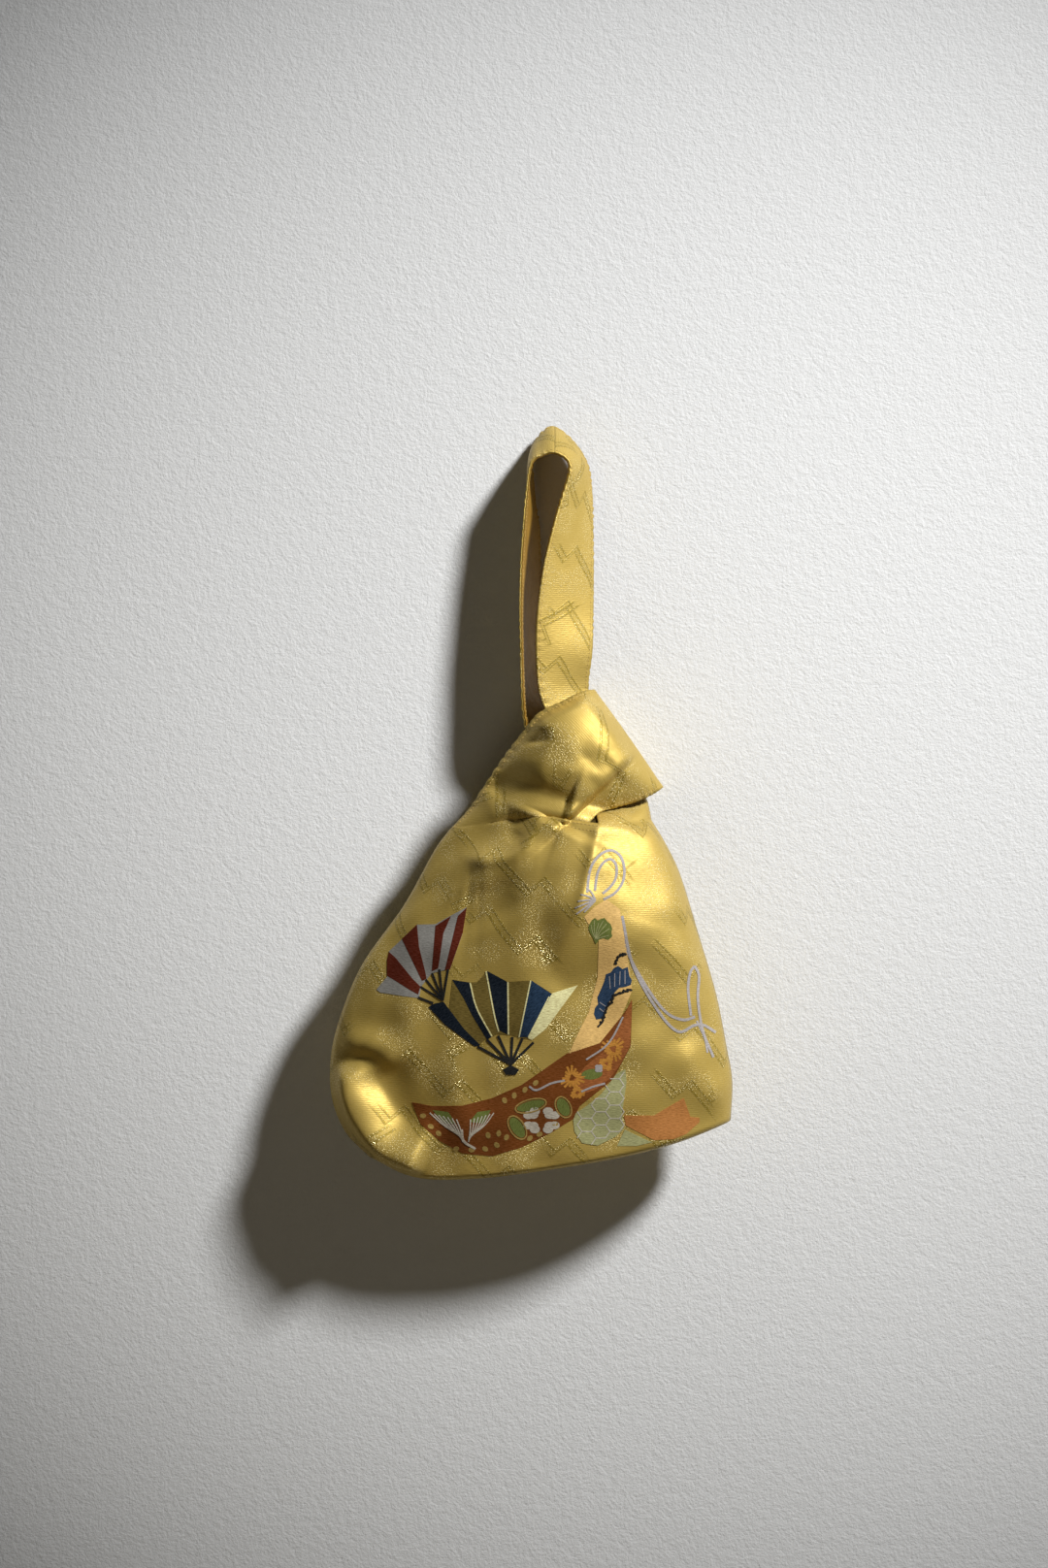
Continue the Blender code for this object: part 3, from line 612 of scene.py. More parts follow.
def brocadeMaterial():
    s = Shading("gold_brocade")
    uv = s.node("ShaderNodeUVMap", {"uv_map": "Cloth"})
    wobble = s.noise(uv, gold["wobbleScale"], 1.0) - 0.5
    x, y, z = s.separate(uv)
    turn, spacing, starts = gold["bandTurn"], gold["bandSpacing"], gold["bandStarts"]
    rimOne, fillOne = lightning(s, x, y, wobble, turn, starts[0], spacing)
    turn, spacing = turn + gold["crossTurn"], spacing * gold["crossSpacing"]
    rimTwo, fillTwo = lightning(s, x, y, wobble, turn, starts[1], spacing)
    seen = s.between(s.noise(uv, gold["seenScale"], 1.0), *gold["seenFrom"])
    seenTwo = s.between(s.noise(uv, gold["crossSeenScale"], 1.0), *gold["crossSeenFrom"])
    lines = (rimOne * seen).op("MAXIMUM", rimTwo * seenTwo)
    fill = (fillOne * seen).op("MAXIMUM", fillTwo * seenTwo)
    band = lines.op("MAXIMUM", fill * 0.55)
    # weft threads lie across the cloth, and are coarser and brighter in the woven bands
    weft = (y * gold["weftPerMetre"] * math.pi).op("SINE") * 0.5 + 0.5
    threadAcross, threadUp = gold["threadScale"]
    thread = s.noise(s.combine(x * threadAcross, y * threadUp), 1.0, 2.0, 0.6)
    sparkAcross, sparkUp = gold["sparkScale"]
    spark = s.noise(s.combine(x * sparkAcross, y * sparkUp), 1.0, 1.0, 0.5)
    spark = s.between(spark, *gold["sparkFrom"])
    patchy = s.between(s.noise(uv, gold["patchScale"], 1.0), *gold["patchFrom"])
    threadLit = s.between(thread, 0.3, 0.7)
    base = s.mix(s.noise(uv, gold["cloudScale"], 3.0), gold["deep"], gold["lit"])
    base = s.mix(threadLit * 0.45, base, gold["warm"])
    base = s.mix(lines * 0.75 + fill * 0.3, base, gold["line"])
    # where the metal threads sparkle: they are smoother and more metallic, and their colour is painted
    # paler, partly their own colour, partly painted highlight
    glitterAndPaintedGlint = (band * 0.9 + patchy * 0.4) * spark * (0.35 + patchy * 0.65)
    base = s.mix((glitterAndPaintedGlint * 1.7).op("MINIMUM", 1.0), base, gold["metalThreadAndPaintedGlint"])
    rough = gold["roughness"] + 0.05 - threadLit * 0.1 - glitterAndPaintedGlint * 0.2
    height = weft * 0.2 + thread * 0.8 + lines * 0.5 + glitterAndPaintedGlint * 4.0
    return s.surface(
        Base_Color=base,
        Roughness=rough,
        Metallic=gold["metallic"] + glitterAndPaintedGlint * 0.2,
        Specular_IOR_Level=gold["shine"],
        Normal=s.bump(gold["bump"], gold["bumpDepth"], height),
    )


liningSatin = {
    # the lining's gold, set darker than the cloth so that it shows dark in the gap inside the loop: partly
    # its own colour, partly painted shade
    "dark": (0.19, 0.10, 0.012),
    "pale": (0.33, 0.19, 0.03),
    "cloudScale": 90.0,
    "fineScale": 900.0,
    "roughness": (0.56, 0.46),
    "shine": 0.12,
    "bump": 0.5,
    "bumpDepth": 0.002,
}


def satinMaterial():
    s = Shading("gold_lining_satin")
    uv = s.node("ShaderNodeUVMap", {"uv_map": "Cloth"})
    cloudy = s.noise(uv, liningSatin["cloudScale"], 3.0)
    fine = s.noise(uv, liningSatin["fineScale"], 2.0)
    return s.surface(
        Base_Color=s.mix(cloudy, liningSatin["dark"], liningSatin["pale"]),
        Roughness=s.between(fine, 0.3, 0.7, *liningSatin["roughness"]),
        Specular_IOR_Level=liningSatin["shine"],
        Normal=s.bump(liningSatin["bump"], liningSatin["bumpDepth"], cloudy + fine * 0.08),
    )


# satin stitched weft threads of the figures; a colour's own values go beside it
figureThread = {
    "scale": (350.0, 2100.0),
    "cloudScale": 120.0,
    "shade": 0.75,
    "metallic": 0.0,
    "roughness": 0.5,
    "turn": 0.0,
    "shine": 0.2,
    "bump": 0.5,
    "bumpDepth": 0.0004,
}


def threadMaterial(name, colour, **own):
    look = {**figureThread, **own}
    s = Shading(name)
    place = s.node("ShaderNodeTexCoord", {}, {}, 3)  # object coordinates
    x, y, z = s.separate(place)
    c, d = math.cos(look["turn"]), math.sin(look["turn"])
    along, across = look["scale"]
    strands = s.noise(s.combine((x * c + z * d) * along, (z * c - x * d) * across), 1.0, 2.0, 0.6)
    dark = tuple(v * look["shade"] for v in colour)
    pale = tuple(min(1, v * 1.25 + 0.02) for v in colour)
    base = s.mix(s.between(strands, 0.28, 0.72), dark, pale)
    base = s.mix(s.noise(place, look["cloudScale"], 2.0) * 0.25, base, dark)
    return s.surface(
        Base_Color=base,
        Roughness=look["roughness"] + 0.12 - strands * 0.2,
        Metallic=look["metallic"],
        Specular_IOR_Level=look["shine"],
        Normal=s.bump(look["bump"], look["bumpDepth"], strands),
    )


threadLooks = {
    "red": ("thread_red", (0.082, 0.009, 0.0006), {"shine": 0.02}),
    "vermilion": ("thread_vermilion", (0.41, 0.165, 0.038), {}),
    "ribbonRed": ("thread_ribbon_red", (0.165, 0.046, 0.004), {"shine": 0.04}),
    "coral": ("thread_coral", (0.31, 0.095, 0.018), {"shade": 0.6}),
    "salmon": ("thread_salmon", (0.69, 0.445, 0.15), {}),
    "white": ("thread_white", (0.52, 0.48, 0.40), {"shade": 0.7}),
    # the white thread again, much darker: painted shade over the fan
    "fanWhite": ("thread_fan_white_painted_shade", (0.22, 0.215, 0.20), {"shade": 0.85, "shine": 0.1}),
    "black": ("thread_black", (0.006, 0.0065, 0.007), {}),
    "blue": ("thread_blue", (0.0028, 0.0085, 0.018), {"shade": 0.5, "turn": 0.6, "shine": 0.03}),
    # a paler copy of the blue: painted highlight on the fan's last stripe
    "blueLight": ("thread_blue_painted_highlight", (0.012, 0.038, 0.085), {"shade": 0.4, "turn": 0.6, "shine": 0.1}),
    "pineBlue": ("thread_pine_blue", (0.016, 0.045, 0.10), {"shade": 0.6, "turn": 0.6}),
    # pale gold thread, made near white: partly its own colour, partly a painted glint
    "brightGold": (
        "thread_bright_gold", (0.98, 0.86, 0.42), {"shade": 0.55, "roughness": 0.35, "shine": 0.5},
    ),
    "fanGold": (
        "thread_fan_gold", (0.21, 0.15, 0.03), {"shade": 0.6, "metallic": 0.3, "roughness": 0.45},
    ),
    "green": ("thread_green", (0.13, 0.16, 0.03), {"turn": 1.1}),
    "greyGreen": ("thread_grey_green", (0.34, 0.34, 0.155), {}),
    "silver": ("thread_silver", (0.34, 0.315, 0.31), {"shade": 0.8, "roughness": 0.55}),
    "orange": ("thread_orange", (0.50, 0.22, 0.03), {}),
    "ochre": ("thread_ochre", (0.34, 0.23, 0.06), {}),
    "sewing": ("thread_sewing", (0.62, 0.44, 0.15), {"shade": 0.8}),
}

say("materials")
brocade, satin = brocadeMaterial(), satinMaterial()
threads = {}
for key, (name, colour, own) in threadLooks.items():
    threads[key] = threadMaterial(name, colour, **own)

say("cloth")
front, back = Panel(-1), Panel(1)
# both panels share their seam points' normals
for a, b in zip(front.seam(), back.seam()):
    n = front.normals[a] + back.normals[b]
    n[1] = 0
    front.normals[a] = back.normals[b] = n / np.linalg.norm(n)
for key in ("bandIds", "strapIds"):
    for a, b in zip(getattr(front, key)[-1], getattr(back, key)[-1]):
        n = front.normals[a] + back.normals[b]
        front.normals[a] = back.normals[b] = n / np.linalg.norm(n)

inside = -cloth["liningGap"]
for panel, side in ((front, "front"), (back, "back")):
    outer = clothPiece(f"{side}_panel_cloth", panel, 0.0, cloth["thick"], brocade)
    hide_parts(f"{side}_panel")
    lining = clothPiece(f"{side}_lining_satin", panel, inside - cloth["lining"], inside, satin)
    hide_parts(f"{side}_lining")

# woven figures: laid on the front cloth where the camera sees them, with outlines in pixels of its view
figure = {
    "spacing": 3.0,  # of the mesh, in pixels
    "lift": 0.22,
    "layer": 0.10,
    "sunk": 0.25,
    "nearestFrom": -70.0,  # y from which a pixel beside the cloth looks for the nearest point
}
surfaceTree = BVHTree.FromPolygons(
    [Vector(p) for p in front.points + front.normals * cloth["thick"]], front.faces
)


# the point and normal of the front cloth seen at a pixel
def onCloth(px, py):
    start = Vector(eye)
    way = (Vector(fromPixel(px, py)) - start).normalized()
    hit, normal, *rest = surfaceTree.ray_cast(start, way)
    if hit is None:
        hit, normal, *rest = surfaceTree.find_nearest(Vector(fromPixel(px, py, figure["nearestFrom"])))
    if normal.y > 0:
        normal = -normal
    return np.array(hit), np.array(normal)


# whether points lie inside an outline, and how far they are from its corners
def insideOutline(outline, points):
    odd = np.zeros(len(points), bool)
    close = np.full(len(points), 1e9)
    for (x0, y0), (x1, y1) in zip(outline, np.roll(outline, -1, axis=0)):
        cross = (y0 > points[:, 1]) != (y1 > points[:, 1])
        at = x0 + (points[:, 1] - y0) * (x1 - x0) / (y1 - y0 if y1 != y0 else 1e-9)
        odd ^= cross & (points[:, 0] < at)
        close = np.minimum(close, np.hypot(points[:, 0] - x0, points[:, 1] - y0))
    return odd, close


# a flat triangle mesh inside an outline in pixels
def patchMesh(outline, spacing):
    line = np.array(outline, float)
    if sum(line[i - 1][0] * line[i][1] - line[i][0] * line[i - 1][1] for i in range(len(line))) < 0:
        line = line[::-1]
    edge = []
    for a, b in zip(line, np.roll(line, -1, axis=0)):
        n = max(1, int(math.ceil(np.linalg.norm(b - a) / spacing)))
        edge += [a + (b - a) * k / n for k in range(n)]
    edge = np.array(edge)
    low, high = edge.min(0), edge.max(0)
    grid = []
    for gy in np.arange(low[1], high[1], spacing * 0.87):
        shift = spacing / 2 if int(gy / spacing) % 2 else 0
        grid += [(gx + shift, gy) for gx in np.arange(low[0], high[0], spacing)]
    points = [Vector(p) for p in edge]
    if grid:
        grid = np.array(grid)
        odd, close = insideOutline(edge, grid)
        points += [Vector(p) for p in grid[odd & (close > spacing * 0.5)]]
    n = len(edge)
    loop = [(k, (k + 1) % n) for k in range(n)]
    verts, edges, faces, *rest = delaunay_2d_cdt(points, loop, [], 1, 1e-6)
    return [tuple(v) for v in verts], [tuple(f) for f in faces]


# patches of one colour gathered into one piece
class Figure:
    def __init__(self, name, colour):
        self.name, self.colour = name, colour
        self.points, self.faces = [], []

    def patch(self, outline, layer=0):
        flat, faces = patchMesh(outline, figure["spacing"])
        start = len(self.points)
        top, bottom = [], []
        for px, py in flat:
            p, n = onCloth(px, py)
            top.append(p + n * (figure["lift"] + layer * figure["layer"]))
            bottom.append(p - n * figure["sunk"])
        count = len(flat)
        self.points += top + bottom
        a, b, c = (top[i] for i in faces[0])
        if np.cross(b - a, c - a)[1] > 0:
            faces = [f[::-1] for f in faces]
        self.faces += [tuple(i + start for i in f) for f in faces]
        self.faces += [tuple(i + start + count for i in reversed(f)) for f in faces]
        self.faces += [
            (b + start, a + start, a + start + count, b + start + count) for a, b in rimOf(faces)
        ]
        return self

    def line(self, path, wide, layer=0, taper=0.0):
        if len(path) > 2:
            p = byLength(path, np.linspace(0, 1, max(3, int(6 * len(path)))))
        else:
            p = np.array(path, float)
        sides = []
        for k in range(len(p)):
            d = p[min(k + 1, len(p) - 1)] - p[max(k - 1, 0)]
            d = d / np.linalg.norm(d)
            w = wide / 2 * (1 - taper * k / (len(p) - 1))
            n = np.array((-d[1], d[0])) * w
            sides.append((p[k] + n, p[k] - n))
        return self.patch([s[0] for s in sides] + [s[1] for s in reversed(sides)], layer)

    def patches(self, outlines, layer=0):
        for outline in outlines:
            self.patch(outline, layer)
        return self

    def lines(self, paths, wide, layer=0):
        for path in paths:
            self.line(path, wide, layer)
        return self

    # lines from one point to many
    def rays(self, start, tips, wide, layer=0):
        return self.lines([(start, tip) for tip in tips], wide, layer)

    # a closed line, made of two halves that meet
    def ring(self, path, wide, layer=0):
        half = len(path) // 2
        self.line(path[: half + 1], wide, layer)
        return self.line(path[half:] + path[:1], wide, layer)

    def make(self, *nodes):
        made = makeMesh(self.name, self.points, self.faces, threads[self.colour], smoothed=False)
        if nodes:
            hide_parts(*nodes)


# an ellipse, turned, with petals cut into it where they are asked for
def blob(cx, cy, rx, ry, turn=0.0, count=14, petals=0, depth=0.25):
    outline = []
    for k in range(count):
        a = 2 * math.pi * k / count
        r = 1 - (depth * (0.5 + 0.5 * math.cos(petals * a)) if petals else 0)
        x, y = rx * r * math.cos(a), ry * r * math.sin(a)
        outline.append((
            cx + x * math.cos(turn) - y * math.sin(turn),
            cy + x * math.sin(turn) + y * math.cos(turn),
        ))
    return outline


say("figures")
whiteFan = {
    "leaf": [
        (388, 1020), (399.6, 1006), (399, 990), (401, 980.5), (414.4, 968), (430, 953), (448.8, 952.5),
        (465, 943.5), (481, 935), (476.8, 962), (464, 998.6), (445, 1003), (434, 1017), (432, 1028.7),
        (416.5, 1026.6), (392, 1023),
    ],
    "stripes": [
        [
            (401, 981), (399, 990), (399, 1005.6), (408, 1011), (422, 1020), (431, 1025),
            (433.3, 1016.8), (425, 1008.4), (408, 987.3),
        ],
        [(414.4, 967.7), (429.8, 953), (432, 976), (439, 1004), (439.6, 1009), (435, 1011)],
        [(448.8, 954.4), (465, 944), (457, 962), (453, 990), (451.6, 998), (445.2, 1001)],
        [(472, 944), (481, 935.4), (476.8, 962), (467, 990), (464, 998.6), (458.6, 1000)],
    ],
    "pivot": (456.5, 1031),
    "ribTips": [(462, 999), (453, 999), (445.5, 1003), (439, 1009.5), (433.5, 1017)],
    "ribWide": 2.0,
    "guard": [(431, 1028), (446.5, 1034)],
    "guardWide": 2.4,
}
# the fan's leaf takes the darker white, as painted shade
Figure("white_fan_leaf_threads", "fanWhite").patch(whiteFan["leaf"]).make("white_fan_leaf")
for k, outline in enumerate(whiteFan["stripes"], 1):
    Figure(f"red_fan_stripe_{k}_threads", "red").patch(outline, 1).make(f"red_fan_stripe_{k}")
ribs = Figure("black_fan_ribs_threads", "black")
ribs.rays(whiteFan["pivot"], whiteFan["ribTips"], whiteFan["ribWide"], 2)
ribs.line(whiteFan["guard"], whiteFan["guardWide"], 2).make("black_fan_ribs")

goldFan = {
    "leaf": [
        (441.7, 1037.9), (448, 1034), (457.2, 1032.3), (463, 1040), (466.3, 1009.8), (483.8, 1012.6),
        (492, 1012), (502, 1000.7), (523, 1011.9), (547.7, 1010.5), (568.7, 1023.8), (562.4, 1050),
        (549.8, 1071), (538.6, 1070), (528, 1067), (513.3, 1065.5), (502, 1070), (492, 1078),
        (478, 1071), (458.6, 1056),
    ],
    "stripes": [
        [
            (457.2, 1032.3), (446, 1035), (441.7, 1037.9), (458.6, 1056), (489.4, 1078.6),
            (495, 1077), (478.2, 1060.3),
        ],
        [
            (466.3, 1009.8), (483.8, 1012.6), (490.8, 1039.3), (506.3, 1068.7), (502, 1071.5),
            (486.6, 1046.3), (478.2, 1029.4),
        ],
        [(502, 1000.7), (523, 1011.9), (523, 1066), (514.7, 1061.7), (510.5, 1046.3)],
        [(547.7, 1010.5), (568.7, 1024.5), (544.2, 1068.7), (535.7, 1068.7)],
    ],
    "brightEnd": [(568.7, 1023.8), (595.4, 1015.4), (562.4, 1060.3), (548.4, 1071.5), (544.2, 1070)],
    "brightRims": [
        [(501, 1001), (509.5, 1046), (514, 1063)], [(523.5, 1012), (524, 1066)],
        [(547, 1010.5), (535, 1069)], [(566, 1027), (544.5, 1069)],
        [(484.5, 1013), (491.5, 1039), (507, 1068)],
    ],
    "rimWide": 1.3,
    "pivot": (526.6, 1097),
    "ribTips": [
        (492.2, 1078.6), (502, 1071.5), (513.3, 1067.3), (528, 1068.7), (538.6, 1070), (549.8, 1074.3),
    ],
    "ribWide": 2.6,
    "knob": [(518.2, 1102.4), (526.6, 1097.5), (535, 1102.4), (531.5, 1107.6), (521.7, 1107.6)],
}
Figure("gold_fan_leaf_threads", "fanGold").patch(goldFan["leaf"]).make("gold_fan_leaf")
for k, outline in enumerate(goldFan["stripes"], 1):
    colour = "blueLight" if k == len(goldFan["stripes"]) else "blue"  # the last one is a paler blue: painted highlight
    Figure(f"blue_fan_stripe_{k}_threads", colour).patch(outline, 1).make(f"blue_fan_stripe_{k}")
# the stripe at the fan's end: pale gold thread, made near white as a painted glint
brightEnd = Figure("bright_fan_stripe_threads", "brightGold").patch(goldFan["brightEnd"], 1)
brightEnd.lines(goldFan["brightRims"], goldFan["rimWide"], 2).make()
darkRibs = Figure("fan_ribs_and_knob_threads", "black")
darkRibs.rays(goldFan["pivot"], goldFan["ribTips"], goldFan["ribWide"], 2)
darkRibs.patch(goldFan["knob"], 3).make("blue_fan_ribs")

# each line of the cord: its path, how wide it is and its layer
silverCord = {
    "loop": [
        ([
            (605, 920), (608, 897), (616, 883), (628, 876.5), (638, 881), (643, 893), (642, 908),
            (634, 920), (622, 927),
        ], 2.6, 0),
        ([
            (613, 918), (615.5, 901), (621, 890), (629, 885.5), (635, 892), (634.5, 905), (629, 914),
            (621, 921),
        ], 2.6, 0),
    ],
    "knot": (613.5, 928),
    "knotEnds": [(604, 914.5), (598.5, 922), (595.5, 929), (592.5, 936), (594, 942), (602, 940)],
    "knotWide": 2.0,
    "knotTaper": 0.3,
    "tail": [
        ([(644.5, 961), (648, 984), (668.6, 1020.7), (687, 1043.7), (704, 1051), (716, 1048)], 2.8, 0),
        ([
            (641, 944), (652.5, 995.5), (677.8, 1041.4), (698.4, 1063), (714.5, 1057), (724, 1056),
            (737.4, 1064),
        ], 2.8, 1),
        ([(712, 1047), (709, 1020), (711, 1003), (715.6, 995.5)], 2.6, 0),
        ([(715.6, 995.5), (720, 1006), (719, 1030), (724, 1062), (735, 1089.6)], 2.6, 1),
        ([(718, 1052), (726, 1070), (729, 1085)], 1.9, 0),
    ],
}
cordLoop = Figure("silver_cord_loop_threads", "silver")
for path, wide, layer in silverCord["loop"]:
    cordLoop.line(path, wide, layer)
knotX, knotY = silverCord["knot"]
for x, y in silverCord["knotEnds"]:
    bend = ((x + knotX) / 2 + 1, (y + knotY) / 2 - 1)
    cordLoop.line([(knotX, knotY), bend, (x, y)], silverCord["knotWide"], 1, silverCord["knotTaper"])
cordLoop.make("silver_cord_loop")
cordTail = Figure("silver_cord_tail_threads", "silver")
for path, wide, layer in silverCord["tail"]:
    cordTail.line(path, wide, layer)
cordTail.make("silver_cord_tail")

salmonRibbon = {
    "ribbon": [
        (602, 945), (612, 935), (625, 927), (638.7, 937), (645.6, 979), (651.4, 1020.7), (640, 1048),
        (618, 1075), (586, 1086), (598, 1060), (606.6, 1043.7), (615.8, 1007), (617, 970),
    ],
    "greenPine": [
        (607, 953), (610, 948), (613, 946), (616, 948.5), (619, 947), (623, 946), (626, 950),
        (629, 952), (631, 957), (630, 961), (631, 965), (627, 968.5), (622, 967), (618, 968),
        (614, 973), (611, 966), (608.5, 962), (606.5, 957),
    ],
    "needleFoot": (614, 968),
    "needleTips": [
        (609, 953), (612.5, 948.5), (617, 951), (621.5, 949), (625, 952), (628, 957), (627.5, 964),
    ],
    "needleWide": 0.7,
    "bluePine": [
        (632.7, 997.5), (637, 995.4), (641.4, 998.6), (646.8, 996.5), (648.6, 1006), (651, 1010),
        (650, 1015), (644.7, 1017), (638, 1018), (633.8, 1022.5), (630.6, 1028), (627.3, 1034.4),
        (623, 1041), (620.8, 1049.6), (614.3, 1050.7), (612, 1045), (613.2, 1038.7),
        (616.5, 1034.4), (615.5, 1028), (618.6, 1021.4), (620.5, 1017), (623, 1010.5),
        (624.5, 1004), (629.5, 1002),
    ],
    "pineRibs": [
        [(629, 1019), (628, 1006)], [(633.5, 1017), (633.5, 1003)], [(638.5, 1015), (639, 1001)],
        [(644, 1014), (644, 1000)], [(618, 1033), (624, 1037)], [(617.5, 1039), (622, 1042.5)],
    ],
    "pineRibWide": 0.8,
    "branches": [
        [
            (651, 1020), (643.6, 1021.4), (638, 1023.6), (632.7, 1026), (630.6, 1032),
            (626, 1036.6), (624, 1043), (620.8, 1051.7), (615.4, 1059),
        ],
        [(645, 983), (638.5, 984.5), (636, 988), (634.5, 994)],
    ],
    "branchJag": 1.1,
    "branchWide": 1.9,
}
Figure("salmon_ribbon_threads", "salmon").patch(salmonRibbon["ribbon"]).make("salmon_ribbon")
Figure("green_pine_threads", "green").patch(salmonRibbon["greenPine"], 1).make("green_pine")
needles = Figure("pine_needle_threads", "greyGreen")
footX, footY = salmonRibbon["needleFoot"]
for tip in salmonRibbon["needleTips"]:
    bend = ((footX + tip[0]) / 2 - 1, (footY + tip[1]) / 2)
    needles.line([(footX, footY), bend, tip], salmonRibbon["needleWide"], 2)
needles.make()
Figure("blue_pine_threads", "pineBlue").patch(salmonRibbon["bluePine"], 1).make("blue_pine")
pineRibs = Figure("blue_pine_rib_threads", "silver")
pineRibs.lines(salmonRibbon["pineRibs"], salmonRibbon["pineRibWide"], 2).make()
branch = Figure("pine_branch_threads", "black")
for path in salmonRibbon["branches"]:
    fine = byLength(path, np.linspace(0, 1, 4 * len(path)))
    k = np.arange(len(fine))
    jagged = fine + salmonRibbon["branchJag"] * np.stack([np.sin(2.4 * k), np.cos(1.9 * k)], 1)
    for a, b in zip(jagged[:-1], jagged[1:]):
        branch.line([tuple(a), tuple(a + (b - a) * 1.3)], salmonRibbon["branchWide"], 3)
branch.make()

redRibbon = {
    "ribbon": [
        (424.5, 1136), (446, 1140), (476.5, 1139.5), (507, 1131.8), (537.8, 1118), (568.4, 1096.6),
        (583.7, 1086), (618, 1075), (640, 1048), (651.4, 1032), (650, 1078), (631.8, 1112.5),
        (597.4, 1140), (591, 1153), (568.4, 1167), (537.8, 1182.4), (507, 1191.5), (476.5, 1188.5),
        (453.6, 1176), (433.7, 1159),
    ],
    "light": [
        (651, 1030), (650.5, 1052), (649, 1078), (640, 1096), (628, 1112), (612, 1124), (596, 1128),
        (588, 1116), (604, 1098), (622, 1084), (636, 1062),
    ],
    "lightLayer": 0.5,
    "wings": [
        [(446, 1144), (462, 1146), (470, 1158), (458, 1158)],
        [(506, 1144), (492, 1146), (484, 1156), (498, 1158)],
    ],
    "plumes": 7,  # on each wing
    "plumeWide": 1.1,
    "tail": [(476, 1164), (478, 1176), (490, 1184)],
    "tailWide": 2.2,
    "flowerAt": (558, 1154.5),
    "petalParts": [(13.5, 5.2), (6.8, 9.4), (8.4, 5.6)],  # from the flower's middle, in each quarter
    "petalSize": (5.3, 4.1),
    # each leaf: its middle, its half sizes and its turn
    "rimmedLeaves": [(547, 1139.5, 15, 5, -0.25), (533, 1162, 12, 6, 1.0), (580.6, 1141, 10, 6, 1.1)],
    "plainLeaf": (610, 1107, 11, 5.5, -0.1),
    "rimOut": 1.5,
    "rimWide": 1.3,
    "dots": [
        (436, 1150), (444, 1161), (452, 1168), (520, 1134), (530, 1129), (541, 1123), (552, 1116),
        (470, 1184), (486, 1185), (500, 1184), (512, 1180), (503, 1170), (514, 1168), (522, 1172),
        (546, 1173), (556, 1169), (572, 1158),
    ],
    "dotSize": (3.4, 2.6),
    "blooms": [(590, 1111), (632, 1081)],
    "bloomReach": 13,
    "bloomPetals": 16,
    "petalWide": 2.4,
    "curls": [
        ([(545.4, 1119.6), (553, 1123.4), (568, 1116.5), (582, 1113.5)], 2.0),
        ([(599, 1125), (611, 1120), (623.5, 1116.5)], 2.0),
        ([(642, 1048), (632, 1068), (622, 1080), (604, 1092)], 1.8),
    ],
    "budAt": (617, 1101),
    "budShape": (5, 5, 0, 12, 4, 0.3),
}
Figure("red_ribbon_threads", "ribbonRed").patch(redRibbon["ribbon"]).make("red_ribbon")
coral = Figure("red_ribbon_light_threads", "coral")
coral.patch(redRibbon["light"], redRibbon["lightLayer"]).make()
Figure("crane_wing_threads", "green").patches(redRibbon["wings"], 1).make("crane_wing")
plumes = Figure("crane_plume_threads", "white")
for k in range(redRibbon["plumes"]):
    left = [(443 + k * 4.6, 1147 + k * 1.1), (458 + k * 2.8, 1160 + k * 0.8), (477, 1172 + k * 0.8)]
    right = [(509 - k * 4.0, 1147 + k * 1.1), (499 - k * 2.4, 1160 + k * 0.8), (483, 1172 + k * 0.8)]
    plumes.line(left, redRibbon["plumeWide"], 2)
    plumes.line(right, redRibbon["plumeWide"], 2)
plumes.line(redRibbon["tail"], redRibbon["tailWide"], 2).make()
flower = Figure("white_flower_threads", "white")
flowerX, flowerY = redRibbon["flowerAt"]
for right in (-1, 1):
    for down in (-1, 1):
        for dx, dy in redRibbon["petalParts"]:
            flower.patch(blob(flowerX + right * dx, flowerY + down * dy, *redRibbon["petalSize"]), 1)
flower.make("white_flower")
leaves = [blob(*leaf) for leaf in redRibbon["rimmedLeaves"] + [redRibbon["plainLeaf"]]]
Figure("ribbon_leaf_threads", "green").patches(leaves, 1).make()
rims = Figure("ribbon_leaf_rim_threads", "ochre")
for x, y, rx, ry, turn in redRibbon["rimmedLeaves"]:
    outline = blob(x, y, rx + redRibbon["rimOut"], ry + redRibbon["rimOut"], turn)
    rims.ring(outline, redRibbon["rimWide"], 2)
for k, (x, y) in enumerate(redRibbon["dots"]):
    rims.patch(blob(x, y, *redRibbon["dotSize"], 0.4 * k, 8), 1)
rims.make()


# a chrysanthemum: a large bloom and a smaller one below it, both of petals that spread from the middle
def chrysanthemum(number, x, y):
    bloom = Figure(f"orange_chrysanthemum_{number}_threads", "orange")
    size = redRibbon["bloomReach"]
    for x0, y0, reach in ((x, y, size), (x + 5 - 12 * (number - 1), y + 15, 0.6 * size)):
        for j in range(redRibbon["bloomPetals"]):
            a = 2 * math.pi * j / redRibbon["bloomPetals"] + number
            far = reach * (0.85 + 0.2 * math.sin(5.0 * j))
            root = (x0 + 0.3 * far * math.cos(a), y0 + 0.3 * far * math.sin(a))
            tip = (x0 + far * math.cos(a + 0.12), y0 + far * math.sin(a + 0.12))
            bloom.line([root, tip], redRibbon["petalWide"], 1)
    bloom.make(f"orange_chrysanthemum_{number}")


for k, place in enumerate(redRibbon["blooms"], 1):
    chrysanthemum(k, *place)
curls = Figure("ribbon_curl_threads", "silver")
for path, wide in redRibbon["curls"]:
    curls.line(path, wide, 2)
curls.patch(blob(*redRibbon["budAt"], *redRibbon["budShape"]), 2).make()

